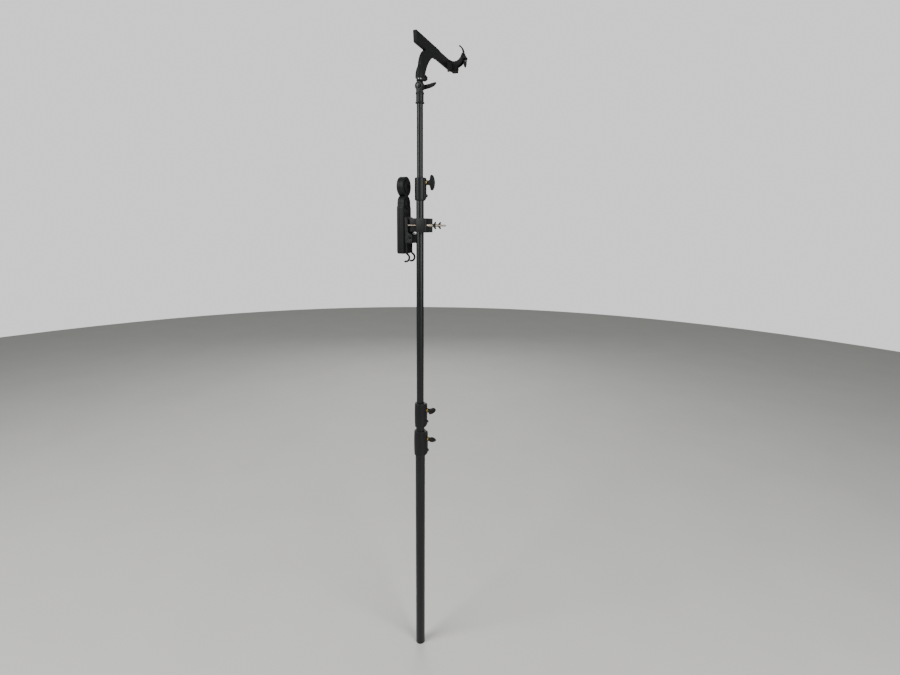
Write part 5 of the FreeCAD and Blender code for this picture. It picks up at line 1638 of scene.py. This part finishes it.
    def case(self) -> None:
        """Two halves with rolled outer rims and a fine groove between them; the front one has
        three slanted vents and a well for each disc."""
        back_low, back_high = self.shop.low("hanger_back_shell"), self.shop.high(
            "hanger_back_shell")
        parting, face = back_high[0], self.shop.high("hanger_front_shell")[0]
        rear = plate([self.outline()], Facing.X, back_low[0], parting - 0.2, self.rim, 0.4)
        self.shop.make("hanger_back_moulding", [rear], MOULDED_CASE, Slot.CASE,
                       ["hanger_back_shell"])
        floor = self.shop.low("lower_disc")[0] - 0.3
        discs = [(self.shop.middle(n), self.shop.high(n)) for n in ("lower_disc", "upper_disc")]
        wells = [circle_loop((0, m[2]), h[1] + 0.8, 72) for m, h in discs]
        vents = [self.vent(step * 16.0) for step in (-1, 0, 1)]
        front = plate([self.outline()] + wells + vents, Facing.X, floor, face, 0.02, self.rim * 0.6)
        under = plate([self.outline()], Facing.X, parting, floor + 0.01, 0.4, 0.02)
        axles = [turned(soft_profile([(floor - 1, 2), (floor - 1, 4), (face, 4, 0.5), (face, 1)],
                                     0.3), Facing.X, (0, 0, m[2]), steps=48) for m, _ in discs]
        self.shop.make("hanger_front_moulding", [front, under] + axles, MOULDED_CASE, Slot.CASE,
                       ["hanger_front_shell"])

    def vent(self, offset: float) -> Array:
        """One slanted slot with round ends, clockwise."""
        level = self.shop.low("hanger_front_shell")[2] + self.vent_level
        lean = math.radians(self.vent_lean)
        half, radius = self.vent_half, self.vent_radius
        ends = np.array(arc((0, half), radius, 0, 180, 10) + arc((0, -half), radius, 180, 360, 10))
        turn = np.array([[math.cos(lean), -math.sin(lean)], [math.sin(lean), math.cos(lean)]])
        return (ends @ turn.T + np.array([offset, level]))[::-1]

    def discs(self) -> None:
        """Discs with a groove, a raised rim that is finely notched, and a recessed hub."""
        for node in ("lower_disc", "upper_disc"):
            low, high = self.shop.low(node), self.shop.high(node)
            centre = self.shop.middle(node)
            back, face, radius = low[0], high[0], high[1]
            profile = soft_profile(
                [(back, 4.06), (face - 3, 4.06), (face - 3, 7.5), (face, 8.2),
                 (face, radius * 0.64), (face - 1.6, radius * 0.68), (face - 1.6, radius * 0.79),
                 (face - 0.4, radius * 0.83), (face - 0.4, radius - 1), (face - 1.4, radius),
                 (back, radius)], 0.45, closed=True)
            shell = turned(
                profile, Facing.X, (0, 0, centre[2]), ring=True, steps=216,
                ripple=lambda along, angle: 1 - self.notch_depth
                * (1 + np.cos(self.notches * angle)))
            self.shop.make(node + "_moulding", [shell], MOULDED_NYLON, Slot.MOULDED, [node])

    def hooks(self) -> None:
        """Hooks bent from round rod: a straight shank, then two arcs; both ends are domed."""
        for node, side in (("front_hook", -1), ("rear_hook", 1)):
            low, high = self.shop.low(node), self.shop.high(node)
            radius = (high[1] - low[1]) / 2
            shank, seat = -41.0, high[2]
            bend_level = seat - 55
            reach = math.acos(11.5 / 23)
            second = (shank - 1.5, bend_level - 23 * math.sin(reach))
            straight = np.stack([np.full(30, shank), np.linspace(seat, bend_level, 30)], axis=-1)
            one = np.array(arc((shank + 10, bend_level), 10, 180, 180 + math.degrees(reach), 14))
            tip = -math.degrees(math.acos(-5.5 / 13))
            two = np.array(arc(second, 13, math.degrees(reach), tip, 40))
            flat = np.vstack([straight, one[1:], two[1:]])
            gap = np.concatenate([[0], np.cumsum(np.linalg.norm(np.diff(flat, axis=0), axis=1))])
            places = np.concatenate([
                radius * (1 - np.cos(np.linspace(0.15, math.pi / 2, 7))),
                np.linspace(radius, gap[-1] - radius, 110)[1:-1],
                gap[-1] - radius * (1 - np.cos(np.linspace(math.pi / 2, 0.15, 7)))])
            near_end = np.minimum(np.minimum(places, gap[-1] - places), radius)
            width = radius * np.sqrt(np.clip(1 - ((radius - near_end) / radius) ** 2, 0.0004, 1))
            path = np.stack([np.interp(places, gap, flat[:, 0]),
                             np.full(len(places), side * self.hook_side),
                             np.interp(places, gap, flat[:, 1])], axis=-1)
            rod = swept(path, width, (0, 1, 0), steps=28)
            self.shop.make(node + "_rod", [rod], POWDER_BAR, Slot.POWDER, [node], crease=60)


# ------------------------------------------------------------------ studio


@dataclass
class Studio:
    """Floor, soft lights and the camera.

    Attributes:
        floor_colour: sRGB colour of the floor.
        sky_colour: sRGB colour of the surrounding light.
        surround: Strength of that light on the object.
        backdrop: Strength of that light as the background.
        lens: Focal length on a 36 mm sensor.
        place: Camera position in metres.
        azimuth: Degrees; zero looks along +Y and ninety along -X.
        pitch: Degrees below level.
        roll: Degrees of tilt about the view.
        aim_level: Height in metres that the lamps point at.
        lamps: Each lamp's name, place in metres, width in metres and power in watts.
    """

    floor_colour: str = "#d9d8d4"
    sky_colour: str = "#eceeec"
    surround: float = 0.3
    backdrop: float = 1.28
    lens: float = 19.2
    place: tuple[float, float, float] = (0.65717, -1.4804, 1.6534)
    azimuth: float = 20.28
    pitch: float = 13.37
    roll: float = 0.78
    aim_level: float = 1.5
    lamps: tuple = (
        ("key", (-2.4, -3.0, 3.4), 2.4, 210), ("fill", (3.3, -1.7, 2.5), 2.2, 150),
        ("back", (-1.6, 3.4, 3.4), 2.4, 60),
    )

    def build(self) -> None:
        """Lay the floor, hang the lights and set up the camera."""
        self.floor()
        self.lights()
        self.camera()

    def floor(self) -> None:
        """A pale round floor of sixteen metres, with the faint mottle of sealed screed."""
        angle = np.linspace(0, FULL_TURN, 96, endpoint=False)
        rim = np.stack([8 * np.cos(angle), 8 * np.sin(angle), np.zeros(96)], axis=-1)
        mesh = bpy.data.meshes.new("floor")
        mesh.from_pydata(rim, [], [tuple(range(96))])
        finish = Finish("Sealed pale screed", self.floor_colour, "#cfcecb", 400, 0.7, 0.05, 6, 0.02)
        mesh.materials.append(finish.material())
        floor = bpy.data.objects.new("floor", mesh)
        bpy.context.scene.collection.objects.link(floor)

    def lights(self) -> None:
        """Three large soft boxes and an even surround."""
        world = bpy.data.worlds.new("Soft surround")
        bpy.context.scene.world = world
        world.use_nodes = True
        tree = world.node_tree
        tree.nodes.clear()
        seen = add_node(tree, "ShaderNodeBackground",
                        {"Color": linear(self.sky_colour), "Strength": self.backdrop})
        cast = add_node(tree, "ShaderNodeBackground",
                        {"Color": linear(self.sky_colour), "Strength": self.surround})
        path = add_node(tree, "ShaderNodeLightPath", {})
        both = add_node(tree, "ShaderNodeMixShader", {}, {
            0: path.outputs["Is Camera Ray"], 1: cast.outputs["Background"],
            2: seen.outputs["Background"]})
        add_node(tree, "ShaderNodeOutputWorld", {}, {"Surface": both.outputs["Shader"]})
        for name, place, width, power in self.lamps:
            lamp = bpy.data.lights.new(name, "AREA")
            lamp.shape, lamp.size, lamp.size_y, lamp.energy = "RECTANGLE", width, width * 1.4, power
            hung = bpy.data.objects.new(name, lamp)
            hung.location = place
            aim = Vector((0, 0, self.aim_level)) - Vector(place)
            hung.rotation_euler = aim.to_track_quat("-Z", "Y").to_euler()
            bpy.context.scene.collection.objects.link(hung)

    def camera(self) -> None:
        """Stand the camera at its place, looking by azimuth, pitch and roll."""
        around, down, tilt = (math.radians(a) for a in (self.azimuth, self.pitch, self.roll))
        forward = Vector((-math.sin(around) * math.cos(down), math.cos(around) * math.cos(down),
                          -math.sin(down)))
        level = Vector((math.cos(around), math.sin(around), 0))
        upright = level.cross(forward)
        right = math.cos(tilt) * level + math.sin(tilt) * upright
        up = -math.sin(tilt) * level + math.cos(tilt) * upright
        data = bpy.data.cameras.new("camera")
        data.lens, data.sensor_width, data.clip_end = self.lens, 36, 60
        camera = bpy.data.objects.new("camera", data)
        turned_to = Matrix((right, up, -forward)).transposed().to_4x4()
        turned_to.translation = Vector(self.place)
        camera.matrix_world = turned_to
        bpy.context.scene.collection.objects.link(camera)
        bpy.context.scene.camera = camera


def main() -> None:
    """Build every part in order and log each as it is finished."""
    logging.basicConfig(level=logging.INFO, format="%(name)s %(message)s")
    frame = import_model()
    shop = Workshop(frame)
    parts = [
        Column(shop),
        Joint(shop, "lower", "base_tube", "first_riser", 64),
        Joint(shop, "middle", "first_riser", "second_riser", 88),
        Joint(shop, "upper", "second_riser", "third_riser", 4),
        Head(shop),
        Bracket(shop),
        Hanger(shop),
        Studio(),
    ]
    for part in parts:
        part.build()
        LOG.info("%s is finished", type(part).__name__)
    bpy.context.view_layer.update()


if __name__ == "__main__":
    main()
